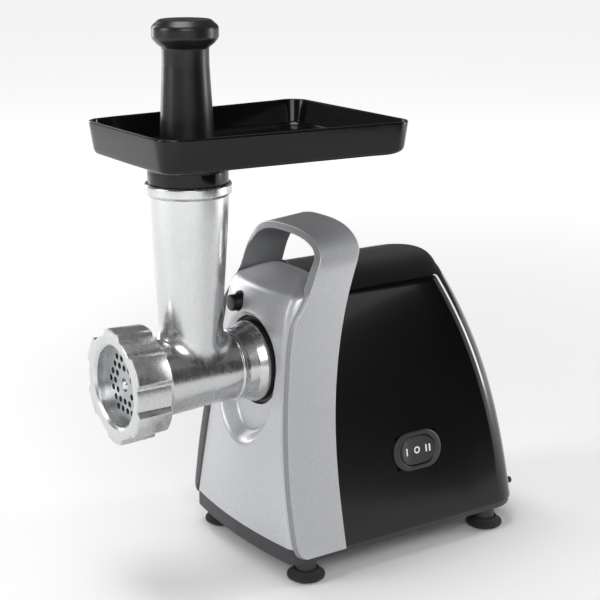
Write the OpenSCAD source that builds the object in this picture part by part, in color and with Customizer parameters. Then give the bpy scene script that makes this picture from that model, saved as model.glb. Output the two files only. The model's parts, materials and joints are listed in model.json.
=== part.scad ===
// Electric meat grinder, free-standing.
// Origin on the table midway between the feet, X to the right seen from the front, front towards -Y, Z up.

/* [Housing] */
// Underside of the base plate above the table
base_z = 14; // [11:0.5:18]
// Half the housing's width at the base
base_half_w = 63; // [58:1:78]
// Half the housing's width at the top
top_half_w = 38.5; // [36:0.5:46]
// Exponent of the sides' inward curve
side_power = 1.7; // [1.2:0.1:2]
// Height of the edge between the sides and the crowned top
crease_z = 176; // [172:1:200]
// Rise of the crowned top above its edge
crown_h = 9.4; // [7:0.1:12]
// Rear face from the origin, at the base
rear_y = 96; // [92:1:125]
// How far the rear face leans in by the top edge
rear_lean = 46.3; // [30:0.1:52]
// Front face from the origin, at the base
front_y = 88.5; // [86:0.5:100]
// How far the front face leans back by the top edge
front_lean = 14; // [8:1:18]
// Wall of the front cover and the rear housing
wall = 2.5; // [2:0.1:3.2]
// Plan radius of the rear corners
rear_corner_r = 20; // [12:1:28]
// Plan radius of the front corners
front_corner_r = 8; // [5:1:12]
// Lower edge of the rear housing
rear_cover_z = 18.5; // [18:0.5:22]
// Lower edge of the front cover
front_cover_z = 24; // [23:0.5:28]

/* [Handle band] */
// Thickness of the band on the housing's sides
band_t = 2.4; // [1.8:0.1:3.2]
// Thickness of the free handle arch
arch_t = 4.5; // [3.5:0.5:6]
// Top of the handle arch above the table
arch_top_z = 215.5; // [212:0.5:250]

/* [Feet] */
// Foot centres from the middle, across
foot_x = 51; // [44:1:53]
// Foot centres from the middle, front to back
foot_y = 72.3; // [60:0.1:76]
// Radius of a rubber foot
foot_r = 11.9; // [9:0.1:14]
// Radius of a foot's stem
leg_r = 6.5; // [5:0.5:7]

/* [Grinding head] */
// Height of the feed screw's axis
axis_z = 129; // [126:1:134]
// Front face of the ring nut, distance from the origin
nut_front = 175.7; // [172:0.1:182]
// Radius of the hole plate
plate_r = 27; // [24:0.5:27.5]
// Thickness of the hole plate
plate_t = 5; // [4:0.5:7]
// Diameter of each hole in the plate
plate_hole_d = 3.9; // [3:0.1:4.6]
// Pitch of the holes in the plate
plate_pitch = 6; // [5.5:0.1:6.6]
// Radius of the screw's barrel
barrel_r = 18.6; // [15:0.1:19.5]
// Wall of the barrel
barrel_wall = 3; // [2.6:0.1:4]
// Radius of the bell behind the nut
bell_r = 30; // [29.5:0.5:31]
// Radius of the nut's opening
nut_open_r = 24.5; // [20:0.5:25.5]
// Depth of the nut's lip in front of the plate
nut_lip = 8; // [5:0.5:9]
// Length of the nut's threaded bore
nut_thread_l = 15; // [12:1:16]
// Radius of the spigot that enters the socket
spigot_r = 23.5; // [22:0.1:24]
// Pitch of the screw's flight
flight_pitch = 26; // [20:1:32]

/* [Neck, tray and pusher] */
// Distance of the neck's axis in front of the origin
neck_y = 121.9; // [119:0.1:124]
// Top rim of the neck
neck_top_z = 246.6; // [240:0.1:280]
// Inner radius of the neck at its top
neck_top_r = 19.6; // [18.5:0.1:20.5]
// Inner radius of the neck at its foot
neck_foot_r = 16.4; // [14:0.1:17.5]
// Height of the tray's rim above the neck's rim
tray_rise = 34; // [28:1:42]
// Half the tray's width at its front edge
tray_front_w = 51.7; // [46:0.1:64]
// Half the tray's width at its rear edge
tray_rear_w = 63.7; // [54:0.1:77]
// Front edge of the tray, ahead of the neck's axis
tray_ahead = 42.7; // [38:0.1:52]
// Rear edge of the tray, behind the neck's axis
tray_behind = 119.2; // [98:0.1:144]
// Height of the tray's wall
tray_wall_h = 17; // [12:1:20]
// Wall thickness of the tray
tray_t = 2.2; // [1.8:0.1:3]
// Height of the pusher above the tray's rim
pusher_rise = 60.5; // [50:0.5:80]
// Radius of the pusher's knob
knob_r = 19.4; // [17:0.1:21]

/* [Gear train] */
// Teeth of the motor pinion
pinion_n = 10; // [10:1:12]
// Teeth of the first gear
first_n = 48; // [44:1:50]
// Module of the motor stage
first_m = 0.8; // [0.8:0.05:0.85]
// Teeth of the first gear's pinion and of the middle gear's pinion
small_n = 12; // [12:1:13]
// Teeth of the middle gear
middle_n = 44; // [40:1:45]
// Module of the middle stage
middle_m = 1; // [0.95:0.05:1.05]
// Teeth of the output gear
output_n = 40; // [36:1:42]
// Module of the output stage
output_m = 1.25; // [1.2:0.05:1.3]
// Play between two meshing teeth
backlash = 0.14; // [0.1:0.02:0.24]

/* [Motor] */
// Side of the square stator stack
stator_w = 54; // [48:1:56]
// Length of the stator stack
stack_l = 40; // [30:1:46]
// Radius of the armature's core
core_r = 18; // [15:0.5:18.5]
// Air gap between core and stator
air_gap = 0.5; // [0.4:0.1:1]
// Radius of the armature shaft
shaft_r = 4; // [3:0.5:4]

/* [Switch] */
// Height of the switch on the side
switch_z = 66; // [62:1:74]
// Place of the switch behind the origin
switch_y = 12.5; // [4:0.5:30]
// Length of the rocker
rocker_l = 27; // [22:1:29]
// Height of the rocker
rocker_h = 18.6; // [15:0.1:19]

/* [Fits] */
// Radial clearance of shafts and spigots that turn
run_fit = 0.06; // [0.02:0.01:0.1]
// Gap between parts that are fixed beside each other
seat_gap = 0.1; // [0.05:0.05:0.2]
// Gap round parts that slide by hand
slide_gap = 0.3; // [0.2:0.05:0.5]

/* [Hidden] */
$fn = 64;

// Housing
seam_foot_y = -68;
seam_lean = 19 / 163;
body_steps = 12;
crown_angles = [20, 40, 58, 72, 82];
taper_z = crease_z + 4;
brow_z = crease_z - 16;
brow_h = 22;
brow_depth = 10;
front_crown = 4;
rear_crown = 4.3;
top_z = crease_z + crown_h;
rear_top_y = 49;
front_top_y = -51;
crown_power = 0.3;
front_top_power = 0.9;
rear_top_power = 0.5;
lip_t = 2;
lip_h = 7;
floor_t = 3;

// Grinding head, lengths measured forward of the origin
plate_front = nut_front - nut_lip;
plate_rear = plate_front - plate_t;
bell_front = plate_front - 1;
bell_rear = plate_front - nut_thread_l - 0.5;
nut_rear = plate_front - nut_thread_l;
lip_relief = 0.8;
knife_gap = 0.2;
knife_t = 6;
chamber_rear = plate_rear - knife_t - 1.8;
chamber_r = plate_r - 2;
seat_y = 80.5;
rear_wall_front = 93;
rear_wall_rear = 86;
spigot_end = 66;
tail_end = 71;
barrel_out_r = barrel_r + barrel_wall;
journal_r = 7;
tail_af = 12;
pin_sq = 8;
pin_r = 4;
washer_t = 1;
screw_r = barrel_r - 0.6;
screw_front = chamber_rear - 0.3;
screw_rear = rear_wall_front + washer_t;

// Neck, tray and pusher
rim_bead_r = 25.9;
rim_bead_h = 5.6;
counter_d = 14.6;
counter_r = neck_top_r + 1;
spigot_out_r = counter_r - slide_gap + 0.1;
throat_r = spigot_out_r - 2;
collar_r = 24;
collar_h = 9;
tray_rim_z = neck_top_z + tray_rise;
tray_floor_z = tray_rim_z - tray_wall_h;
collar_top_z = neck_top_z + collar_h;
pusher_foot_z = axis_z + barrel_r + 1.6;
pusher_top_z = tray_rim_z + pusher_rise;
pusher_max_r = throat_r - 1;
pusher_foot_r = neck_foot_r - 1.2;
pusher_waist_r = 13.7;
knob_h = 26;

// Gear train: distances between axes, and the axes as [x, z]
first_c = first_m * (pinion_n + first_n) / 2;
middle_c = middle_m * (small_n + middle_n) / 2;
output_c = output_m * (small_n + output_n) / 2;
output_dir = -111.7;
middle_dir = -38.2;
first_dir = -115.6;
output_at = [0, axis_z];
middle_at = output_at + output_c * [cos(output_dir), sin(output_dir)];
first_at = middle_at + middle_c * [cos(middle_dir), sin(middle_dir)];
motor_at = first_at + first_c * [cos(first_dir), sin(first_dir)];
pinion_shift = 0.42;
small_shift = 0.3;
// Layers of the gearbox along Y, front to back
cover_front = -64;
case_front = -60;
output_layer = [-57.5, -46];
middle_layer = [-43, -35];
first_layer = [-33, -25];
small_front = -44.4;
case_back = -22;
plate_back = -18;
case_wall = 2.5;
gear_room = 1.5;
coupler_front = -84;
coupler_r = 11;
front_journal_r = 9;
output_hex = 14;
rear_journal_r = 5;
bush_t = 3;
front_boss_y = -67;
middle_hex = 7;
first_hex = 5;
hex_gap = 0.1;
small_journal_r = 2.4;
small_bush_t = 1.6;
pinion_hex = 3.4;

// Motor layout along Y
fan_y = [-14, -6];
stack_y = [0, stack_l];
coil_l = 5;
comm_y = [stack_l + 8, stack_l + 18];
comm_r = 10;
bracket_y = [stack_l + 20, stack_l + 24];
shaft_end = stack_l + 30;
bearing_r = 8;
bearing_l = 7;
brush_w = 5;
brush_l = 8;
brush_out = 12;

// Switch, in its own frame on the side wall
switch_tilt = atan((side_w(switch_z - 1) - side_w(switch_z + 1)) / 2);
bezel_t = 2.2;
bezel_margin = 5.4;
pivot_in = 4;
switch_in = 9;
switch_deep = 20;
axle_r = 1.5;

// Buttons and inlet
lock_at = [-14.8, 163.5];
lock_r = 5.2;
lock_front = -86.5;
lock_flange = [-70.6, -68.8];
lock_flange_r = lock_r + 1.2;
reset_at = [44, 23];
reset_r = 2.2;
inlet_at = [-25, 38];
inlet_r = 3.4;
reset_flange_r = reset_r + 1.2;
grommet_out_r = inlet_r + 4.6;
grommet_in_r = inlet_r + 4.2;
grommet_out = [1.9, 4];
grommet_in = [-4.4, -2.2];
inlet_bulge = 1.4;
seat_front = -76;
seat_back = -71.5;

// Shape of the housing

function side_w(z) = top_half_w + (base_half_w - top_half_w)
  * pow(max(0, 1 - (z - base_z) / (taper_z - base_z)), side_power);

function rise(z) = max(0, (z - base_z) / (crease_z - base_z));

function rear_at(z) = rear_y - rear_lean * pow(rise(z), 2.4);

function front_at(z) = -front_y + front_lean * pow(rise(z), 2)
  + brow_depth * (1 - sqrt(1 - pow(max(0, (z - brow_z) / brow_h), 2)));

function seam_at(z) = seam_foot_y + (z - base_z) * seam_lean;

// A U in plan, from one side of the seam round the end at y_end and back to the other
function u_plan(w, y_seam, y_end, r, crown) =
  let (
    s = sign(y_end - y_seam),
    q = min(r, 0.6 * w, 0.8 * abs(y_end - y_seam)),
    cx = w - q,
    cy = y_end - s * q
  )
  concat(
    [[w, y_seam]],
    [for (a = [0:15:90]) [cx + q * cos(a), cy + s * q * sin(a)]],
    [for (i = [1:7]) let (x = cx * (1 - i / 4)) [x, y_end + s * crown * (1 - pow(x / cx, 2))]],
    [for (a = [90:-15:0]) [-cx - q * cos(a), cy + s * q * sin(a)]],
    [[-w, y_seam]]
  );

function at_height(points, z) = [for (p = points) [p[0], p[1], z]];

// One level of a skin, inset by t; k counts the straight levels first and the crown's after them
function skin_level(k, foot_z, front, t) =
  let (
    crowned = k > body_steps,
    a = crowned ? crown_angles[k - body_steps - 1] : 0,
    z = crowned ? crease_z + crown_h * sin(a) : foot_z + (crease_z - foot_z) * k / body_steps,
    low = min(z, crease_z),
    top_y = front ? front_top_y : rear_top_y,
    left = 1 - sin(a),
    bend = pow(left, front ? front_top_power : rear_top_power),
    end_y = top_y + ((front ? front_at(low) : rear_at(low)) - top_y) * bend,
    s = front ? -1 : 1,
    zt = foot_z + (z - foot_z) * (1 - t / (top_z - foot_z))
  )
  at_height(
    u_plan(side_w(low) * pow(left, crown_power) - t, seam_at(zt), end_y - s * t,
      (front ? front_corner_r : rear_corner_r) - t, (front ? front_crown : rear_crown) * cos(a)),
    zt
  );

// A closed shell from two stacks of U levels, open below and at the seam
module u_shell(foot_z, front) {
  levels = body_steps + len(crown_angles);
  outer = [for (k = [0:levels]) skin_level(k, foot_z, front, 0)];
  inner = [for (k = [0:levels]) skin_level(k, foot_z, front, wall)];
  n = len(outer[0]);
  size = n * (levels + 1);
  function o(k, j) = k * n + j;
  function i(k, j) = size + k * n + j;
  skins = [for (k = [0:levels - 1], j = [0:n - 2]) each [
    [o(k, j), o(k + 1, j), o(k + 1, j + 1)],
    [o(k, j), o(k + 1, j + 1), o(k, j + 1)],
    [i(k, j), i(k + 1, j + 1), i(k + 1, j)],
    [i(k, j), i(k, j + 1), i(k + 1, j + 1)]
  ]];
  foot_rim = [for (j = [0:n - 2]) [o(0, j), o(0, j + 1), i(0, j + 1), i(0, j)]];
  seam_rim = [for (k = [0:levels - 1]) each [
    [o(k, 0), i(k, 0), i(k + 1, 0), o(k + 1, 0)],
    [o(k, n - 1), o(k + 1, n - 1), i(k + 1, n - 1), i(k, n - 1)]
  ]];
  caps = [
    [for (j = [0:n - 1]) o(levels, n - 1 - j)],
    [for (j = [0:n - 1]) i(levels, j)],
    [o(levels, 0), i(levels, 0), i(levels, n - 1), o(levels, n - 1)]
  ];
  faces = concat(skins, foot_rim, seam_rim, caps);
  turned = front ? [for (f = faces) [for (v = [len(f) - 1:-1:0]) f[v]]] : faces;
  polyhedron(points = [for (ring = concat(outer, inner)) each ring], faces = turned);
}

// The front cover's outside as one solid, inset by t
module front_solid(t) {
  levels = body_steps + len(crown_angles);
  rows = [for (k = [0:levels]) skin_level(k, front_cover_z, true, t)];
  n = len(rows[0]);
  function v(k, j) = k * n + j % n;
  sides = [for (k = [0:levels - 1], j = [0:n - 1]) each [
    [v(k, j), v(k, j + 1), v(k + 1, j + 1)],
    [v(k, j), v(k + 1, j + 1), v(k + 1, j)]
  ]];
  caps = [[for (j = [0:n - 1]) v(0, n - 1 - j)], [for (j = [0:n - 1]) v(levels, j)]];
  polyhedron(points = [for (row = rows) each row], faces = concat(sides, caps));
}

// Plan of the base at the front cover's foot, inset by t
function base_plan(t) =
  let (
    w = side_w(front_cover_z) - t,
    rear = u_plan(w, seam_foot_y, rear_at(front_cover_z) - t, rear_corner_r - t, rear_crown),
    front = u_plan(w, seam_foot_y, front_at(front_cover_z) + t, front_corner_r - t, front_crown)
  )
  concat(rear, [for (j = [len(front) - 2:-1:1]) front[j]]);

// Helpers

// Extrudes a plan drawn as [x, z] between two places along Y
module along_y(y0, y1) {
  translate([0, y1, 0]) rotate([90, 0, 0]) linear_extrude(y1 - y0) children();
}

// A bar with its axis along Y
module rod_y(at, r, y0, y1, sides = 64) {
  along_y(y0, y1) translate(at) rotate(180 / sides) circle(r, $fn = sides);
}

module hex_y(at, af, y0, y1) {
  along_y(y0, y1) translate(at) circle(af / sqrt(3), $fn = 6);
}

// Turns a profile drawn as [radius, distance in front of the origin] round the feed screw's axis
module turned_on_axis(points) {
  translate([0, 0, axis_z]) rotate([90, 0, 0]) rotate_extrude() polygon(points);
}

module ring_y(at, r_out, r_in, y0, y1) {
  difference() {
    rod_y(at, r_out, y0, y1);
    rod_y(at, r_in, y0 - 1, y1 + 1);
  }
}

module at_feet() {
  for (sx = [-1, 1], sy = [-1, 1]) translate([sx * foot_x, sy * foot_y, 0]) children();
}

// A helical wire with its axis along Z
module coil(r, wire, length, turns) {
  steps = 14;
  sides = 6;
  count = steps * turns;
  ring = [for (k = [0:count]) let (a = 360 * k / steps, h = wire + (length - 2 * wire) * k / count)
    [for (j = [0:sides - 1]) let (q = r + wire * cos(360 * j / sides))
      [q * cos(a), q * sin(a), h + wire * sin(360 * j / sides)]]];
  walls = [for (k = [0:count - 1], j = [0:sides - 1]) let (m = (j + 1) % sides)
    [k * sides + j, (k + 1) * sides + j, (k + 1) * sides + m, k * sides + m]];
  ends = [[for (j = [0:sides - 1]) j], [for (j = [sides - 1:-1:0]) count * sides + j]];
  polyhedron(points = [for (c = ring) each c], faces = concat(walls, ends));
}

// Closed solid through a list of rings with equal counts, the last one joined to the first
module ring_solid(rings) {
  n = len(rings[0]);
  m = len(rings);
  polyhedron(
    points = [for (c = rings) each c],
    faces = [for (k = [0:m - 1], j = [0:n - 1]) let (a = k * n, b = ((k + 1) % m) * n, j2 = (j + 1) % n) each [
      [a + j, b + j2, a + j2],
      [a + j, b + j, b + j2]
    ]]
  );
}

// Involute gears

function inv(r, rb) = r <= rb ? 0 : tan(acos(rb / r)) - acos(rb / r) * PI / 180;

// Half a tooth's angle at radius r
function half_tooth(m, n, x, r) =
  let (rp = m * n / 2, rb = rp * cos(20))
  (PI / 2 + 2 * x * tan(20) - backlash / (2 * m)) * 180 / PI / n
  + (inv(rp, rb) - inv(max(r, rb), rb)) * 180 / PI;

function gear_plan(m, n, x, turn) =
  let (
    rp = m * n / 2,
    root = rp - m * (1.25 - x),
    low = max(root + 0.15 * m, rp * cos(20)),
    tip = rp + m * (0.95 + x),
    radii = [root, low, low + (tip - low) * 0.35, low + (tip - low) * 0.7, tip]
  )
  [for (k = [0:n - 1], side = [-1, 1], i = [0:4])
    let (r = radii[side < 0 ? i : 4 - i], a = turn + 360 * k / n + side * half_tooth(m, n, x, r))
    r * [cos(a), sin(a)]];

// Turn that puts a gear's gap where its partner's tooth is, for a partner turned by turn_a
function mesh_turn(turn_a, n_a, n_b, dir) = dir + 180 - (turn_a - dir) * n_a / n_b + 180 / n_b;

output_turn = 0;
middle_small_turn = mesh_turn(output_turn, output_n, small_n, output_dir);
first_small_turn = mesh_turn(0, middle_n, small_n, middle_dir);
pinion_turn = mesh_turn(0, first_n, pinion_n, first_dir);

module gear(at, m, n, x, turn, layer) {
  along_y(layer[0], layer[1]) translate(at) polygon(gear_plan(m, n, x, turn));
}

// Base and feet

module base_plate() {
  pedestal_top = motor_at[1] - 22;
  color("dimgray") difference() {
    union() {
      translate([0, 0, base_z]) linear_extrude(floor_t) polygon(base_plan(0));
      translate([0, 0, base_z]) linear_extrude(rear_cover_z - base_z) difference() {
        polygon(base_plan(0));
        polygon(base_plan(wall + lip_t));
      }
      translate([0, 0, base_z]) linear_extrude(front_cover_z - base_z) intersection() {
        difference() {
          polygon(base_plan(0));
          polygon(base_plan(wall + lip_t));
        }
        translate([-base_half_w, -front_y - 10]) square([2 * base_half_w, front_y + 10 + seam_foot_y]);
      }
      translate([0, 0, base_z]) linear_extrude(lip_h + rear_cover_z - base_z) difference() {
        polygon(base_plan(wall + slide_gap + 0.6));
        polygon(base_plan(wall + lip_t + 0.6));
      }
      at_feet() translate([0, 0, 3.2]) cylinder(r = leg_r, h = base_z - 3.2 + 1);
      // Pedestal under the gearbox and two saddles under the motor
      translate([-13, -56, base_z]) cube([26, 32, pedestal_top - base_z]);
      for (y = [stack_y[0] + 2, stack_y[1] - 8])
        translate([-20, y, base_z]) cube([40, 6, motor_at[1] - stator_w / 2 - base_z]);
    }
    at_feet() translate([0, 0, -1]) cylinder(r = 1.6, h = 13);
    for (y = [-48, -32]) translate([0, y, 0]) {
      cylinder(r = 4.2, h = base_z + 8);
      cylinder(r = 2.2, h = pedestal_top + 1);
    }
    for (p = housing_posts) translate([p[0], p[1], 0]) {
      cylinder(r = 3.4, h = base_z + 1.6);
      cylinder(r = 2, h = base_z + 20);
    }
    // Air slots under the motor
    for (i = [-2:2]) translate([i * 9 - 1.5, 50, base_z - 1]) cube([3, 24, floor_t + 2]);
    // Room for the overload switch
    translate([reset_at[0] - 7, rear_at(reset_at[1]) - 26, base_z + floor_t + 0.01]) cube([14, 30, 30]);
  }
}

module foot() {
  difference() {
    rotate_extrude() polygon([[0, 0], [foot_r - 1.2, 0], [foot_r, 1.2], [foot_r, 2.6],
      [leg_r + 2.6, 5], [leg_r + 1.6, 6.4], [0, 6.4]]);
    translate([0, 0, 3]) cylinder(r = leg_r + seat_gap, h = 5);
    translate([0, 0, -1]) cylinder(r = 3.6, h = 2.8);
    translate([0, 0, -1]) cylinder(r = 1.9, h = 6);
  }
}

module foot_front_right() { color("#141414") translate([foot_x, -foot_y, 0]) foot(); }
module foot_front_left() { color("#141414") translate([-foot_x, -foot_y, 0]) foot(); }
module foot_rear_right() { color("#141414") translate([foot_x, foot_y, 0]) foot(); }
module foot_rear_left() { color("#141414") translate([-foot_x, foot_y, 0]) foot(); }

module foot_screws() {
  color("silver") at_feet() {
    translate([0, 0, 0.6]) cylinder(r = 3.2, h = 1.2);
    translate([0, 0, 1.2]) cylinder(r = 1.5, h = 9.6);
  }
}

// Housing shells

housing_posts = [[-36, -76], [36, -76], [-46, 44], [46, 44]];

module post(p, top, arm) {
  translate([p[0], p[1], rear_cover_z + 1.5]) cylinder(r = 4, h = top - rear_cover_z - 1.5);
  translate([min(p[0], p[0] + arm[0]) - 1, min(p[1], p[1] + arm[1]) - 1, rear_cover_z + 10])
    cube([abs(arm[0]) + 2, abs(arm[1]) + 2, top - rear_cover_z - 10]);
}

module front_cover() {
  top = 44;
  reach = -front_at(top) - 76 - wall / 2;
  color("silver") difference() {
    union() {
      u_shell(front_cover_z, true);
      // Seat of the grinding head and boss of the lock button
      intersection() {
        front_solid(0.4);
        union() {
          rod_y(output_at, socket_r + 7, -100, seat_back);
          difference() {
            translate([0, -110, axis_z - 21]) sphere(38.5);
            translate([-60, seat_back, axis_z - 90]) cube([120, 60, 160]);
          }
          rod_y(lock_at, lock_r + 2.2, -100, lock_flange[0] - 0.4);
        }
      }
      post(housing_posts[0], top, [0, -reach]);
      post(housing_posts[1], top, [0, -reach]);
    }
    translate([0, -110, axis_z - 21]) sphere(36);
    rod_y(output_at, socket_r + 3, -100, seat_front);
    rod_y(output_at, socket_r + 0.4, -100, -60);
    rod_y(lock_at, lock_r + slide_gap, -100, -60);
    // Room for the lock button's flange
    rod_y(lock_at, lock_flange_r + slide_gap, lock_flange[0] - 0.4, -60);
    for (x = [-36, 36]) translate([x, -76, 10]) cylinder(r = 1.4, h = top - 14);
    band_holes(2.1);
  }
}

module rear_housing() {
  top = 40;
  reach = side_w(top) - 46 - wall / 2;
  color("#101012") difference() {
    union() {
      u_shell(rear_cover_z, false);
      post(housing_posts[3], top, [reach, 0]);
      post(housing_posts[2], top, [-reach, 0]);
    }
    on_side() translate([-9, -rocker_l / 2 - 2.8, -rocker_h / 2 - 1.6])
      cube([16, rocker_l + 5.6, rocker_h + 3.2]);
    rod_y(inlet_at, inlet_r + 2.6, 80, rear_y + 10);
    // Flats for the grommet's flanges
    rod_y(inlet_at, grommet_out_r + 0.2, inlet_y + grommet_out[0] - 0.05, rear_y + 10);
    rod_y(inlet_at, grommet_in_r + 0.2, 80, inlet_y + grommet_in[1] + 0.05);
    rod_y(reset_at, reset_r + slide_gap, 80, rear_y + 10);
    // Room for the reset button's flange
    rod_y(reset_at, reset_flange_r + slide_gap, 80, reset_tip - 9.5);
    for (x = [-46, 46]) translate([x, 44, 10]) cylinder(r = 1.4, h = top - 14);
    band_holes(2.1);
    // Air slots low in the rear face
    for (i = [0:4]) translate([i * 8 - 8, 84, 46]) cube([3, 30, 22]);
  }
}

module housing_screws() {
  color("silver") for (p = housing_posts) translate([p[0], p[1], base_z]) {
    translate([0, 0, -0.2]) cylinder(r = 3, h = 1.7);
    cylinder(r = 1.3, h = 16);
  }
}

// Handle band: two legs on the housing's sides and the free arch over the top

band_front = [[18.5, -80], [21, -83.6], [26, -85.6], [32, -86.2], [60, -86.2], [82, -84.9], [100, -83.3],
  [129, -79.7], [147, -77], [158, -74.4], [165, -70.8], [172, -65.3], [180, -62], [190, -58.3], [205, -53.4],
  [260, -51.5]];
arch_foot_z = arch_top_z - 25.5;
arch_tilt = 3;
leg_zs = concat([18.5, 20, 22, 26],
  [for (k = [1:body_steps]) rear_cover_z + (crease_z - rear_cover_z) * k / body_steps]);

function band_rear(z) = -50.8 + 16 * pow(max(0, (min(z, 202) - 40) / 133), 2.4);

// Points of one station: [outer front, outer rear, inner rear, inner front]
function band_leg(z) =
  let (
    x = side_w(z) + seat_gap,
    inner = z > crease_z ? x + band_t - arch_t : x
  )
  [[x + band_t, lookup(z, band_front), z], [x + band_t, band_rear(z), z], [inner, band_rear(z), z],
    [inner, lookup(z, band_front), z]];

function band_arch(a) =
  let (
    w = side_w(taper_z) + seat_gap + band_t,
    c = pow(cos(a), 2 / 2.7),
    s = pow(sin(a), 2 / 2.7),
    h = arch_top_z - arch_foot_z,
    zo = arch_foot_z + h * s,
    zi = arch_foot_z + (h - arch_t) * s,
    xo = w * c,
    xi = (w - arch_t) * c,
    yf = lookup(zo, band_front),
    yr = band_rear(zo),
    drop = arch_tilt * s
  )
  [[xo, yf, zo - drop], [xo, yr, zo], [xi, yr, zi], [xi, yf, zi - drop]];

function flip_x(points) = [for (p = points) [-p[0], p[1], p[2]]];

module handle_band() {
  half = concat(
    [for (z = leg_zs) band_leg(z)],
    [for (z = [taper_z, taper_z + (arch_foot_z - taper_z) / 2]) band_leg(z)],
    [for (a = [0:7.5:82.5]) band_arch(a)],
    [band_arch(86.5)]
  );
  n = len(half);
  stations = concat(half, [band_arch(90)], [for (k = [n - 1:-1:0]) flip_x(half[k])]);
  m = len(stations);
  walls = [for (k = [0:m - 2], j = [0:3]) let (a = 4 * k, b = 4 * k + 4, j2 = (j + 1) % 4) each [
    [a + j, b + j2, b + j],
    [a + j, a + j2, b + j2]
  ]];
  color("silver") difference() {
    polyhedron(
      points = [for (st = stations) each st],
      faces = concat(walls, [[3, 2, 1, 0], [for (j = [0:3]) 4 * (m - 1) + j]])
    );
    band_holes(1.25, 1.7);
  }
}

// Screws that hold the band, put in from inside the rear housing
band_screw_zs = [44, 128];

module band_holes(r, into = 60) {
  for (z = band_screw_zs, s = [-1, 1])
    translate([s * 30, band_rear(z) - 5, z]) rotate([0, s * 90, 0])
      cylinder(r = r, h = side_w(z) - 30 + seat_gap + min(into, band_t - 0.6));
}

module band_screws() {
  color("silver") for (z = band_screw_zs, s = [-1, 1]) {
    x = side_w(z) - wall - 2.6;
    translate([s * x, band_rear(z) - 5, z]) rotate([0, s * 90, 0]) {
      cylinder(r = 3.2, h = 1.6);
      cylinder(r = 1.2, h = side_w(z) - x + seat_gap + band_t - 1);
    }
  }
}

// Lock button of the grinding head

module lock_button() {
  color("#1a1a1a") {
    rod_y(lock_at, lock_r, lock_front, lock_flange[1]);
    rod_y(lock_at, lock_flange_r, lock_flange[0], lock_flange[1]);
    rod_y(lock_at, 2.4, lock_flange[0], case_front + 2);
  }
}

module lock_spring() {
  color("silver") translate([lock_at[0], cover_front - 0.1, lock_at[1]]) rotate([90, 0, 0])
    coil(3.5, 0.35, cover_front - lock_flange[1] - 0.2, 3);
}

// Rocker switch, drawn in a frame on the side wall: X out of the wall, Y along it

module on_side() {
  translate([side_w(switch_z), switch_y, switch_z]) rotate([0, -switch_tilt, 0]) children();
}

// A bar across the wall with its long ends rounded
module oval(l, h, x0, x1) {
  for (s = [-1, 1]) translate([x0, s * (l - h) / 2, 0]) rotate([0, 90, 0]) cylinder(r = h / 2, h = x1 - x0);
  translate([x0, -(l - h) / 2, -h / 2]) cube([x1 - x0, l - h, h]);
}

module switch_bezel() {
  l = rocker_l + 2 * bezel_margin;
  h = rocker_h + bezel_margin + 1;
  skirt = pivot_in - axle_r - slide_gap;
  color("#2b2b2b") on_side() difference() {
    union() {
      oval(l, h, 0.15, bezel_t);
      translate([-skirt, -rocker_l / 2 - 2.5, -rocker_h / 2 - 1.3])
        cube([skirt + 0.6, rocker_l + 5, rocker_h + 2.6]);
    }
    translate([-5, -rocker_l / 2 - 1.4, -rocker_h / 2 - slide_gap])
      cube([12, rocker_l + 2.8, rocker_h + 2 * slide_gap]);
  }
}

module switch_rocker() {
  half = rocker_l / 2;
  color("#1f1f1f") on_side() {
    translate([0, 0, -rocker_h / 2]) linear_extrude(rocker_h)
      polygon([[-6.4, -half + 3], [-3, -half + 0.4], [2.6, -half], [1.2, -half / 2], [0.7, 0], [1.2, half / 2],
        [2.6, half], [-3, half - 0.4], [-6.4, half - 3]]);
    translate([-pivot_in, 0, -rocker_h / 2 - 1.9]) cylinder(r = axle_r, h = rocker_h + 3.8);
  }
}

module switch_body() {
  color("#3a3a3a") on_side() difference() {
    union() {
      translate([-switch_deep, -rocker_l / 2 - 1, -rocker_h / 2 - 2])
        cube([switch_deep - switch_in, rocker_l + 2, rocker_h + 4]);
      for (s = [-1, 1]) translate([-switch_in - 0.5, -5, s > 0 ? rocker_h / 2 + 0.5 : -rocker_h / 2 - 2])
        cube([switch_in - 3.6 + 0.5, 10, 1.5]);
      for (y = [-8, 0, 8]) translate([-switch_deep - 0.9, y - 2, -3]) cube([2, 4, 6]);
    }
    translate([-pivot_in, 0, -20]) cylinder(r = axle_r + run_fit, h = 40);
  }
}

// Overload switch and cord inlet in the rear face

reset_tip = rear_at(reset_at[1]) + 4.6;

module reset_button() {
  color("#1a1a1a") {
    rod_y(reset_at, reset_r, reset_tip - 10, reset_tip);
    rod_y(reset_at, reset_flange_r, reset_tip - 11.5, reset_tip - 9.7);
  }
}

module reset_spring() {
  color("silver") translate([reset_at[0], reset_tip - 11.6, reset_at[1]]) rotate([90, 0, 0])
    coil(2.2, 0.3, 8.2, 5);
}

module breaker_body() {
  x = reset_at[0];
  y = rear_at(reset_at[1]) - 25;
  z = base_z + floor_t + seat_gap;
  color("#3a3a3a") difference() {
    translate([x - 6, y, z]) cube([12, 15.2, 14]);
    rod_y(reset_at, reset_r + 1.6, reset_tip - 20, reset_tip);
  }
}

inlet_y = rear_at(inlet_at[1]) + inlet_bulge;

module cord_grommet() {
  color("#1a1a1a") difference() {
    union() {
      rod_y(inlet_at, inlet_r + 2.5, inlet_y + grommet_in[0], inlet_y + 3.6);
      rod_y(inlet_at, grommet_out_r, inlet_y + grommet_out[0], inlet_y + grommet_out[1]);
      rod_y(inlet_at, grommet_in_r, inlet_y + grommet_in[0], inlet_y + grommet_in[1]);
    }
    rod_y(inlet_at, inlet_r, inlet_y - 8, inlet_y + 8);
  }
}

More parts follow.
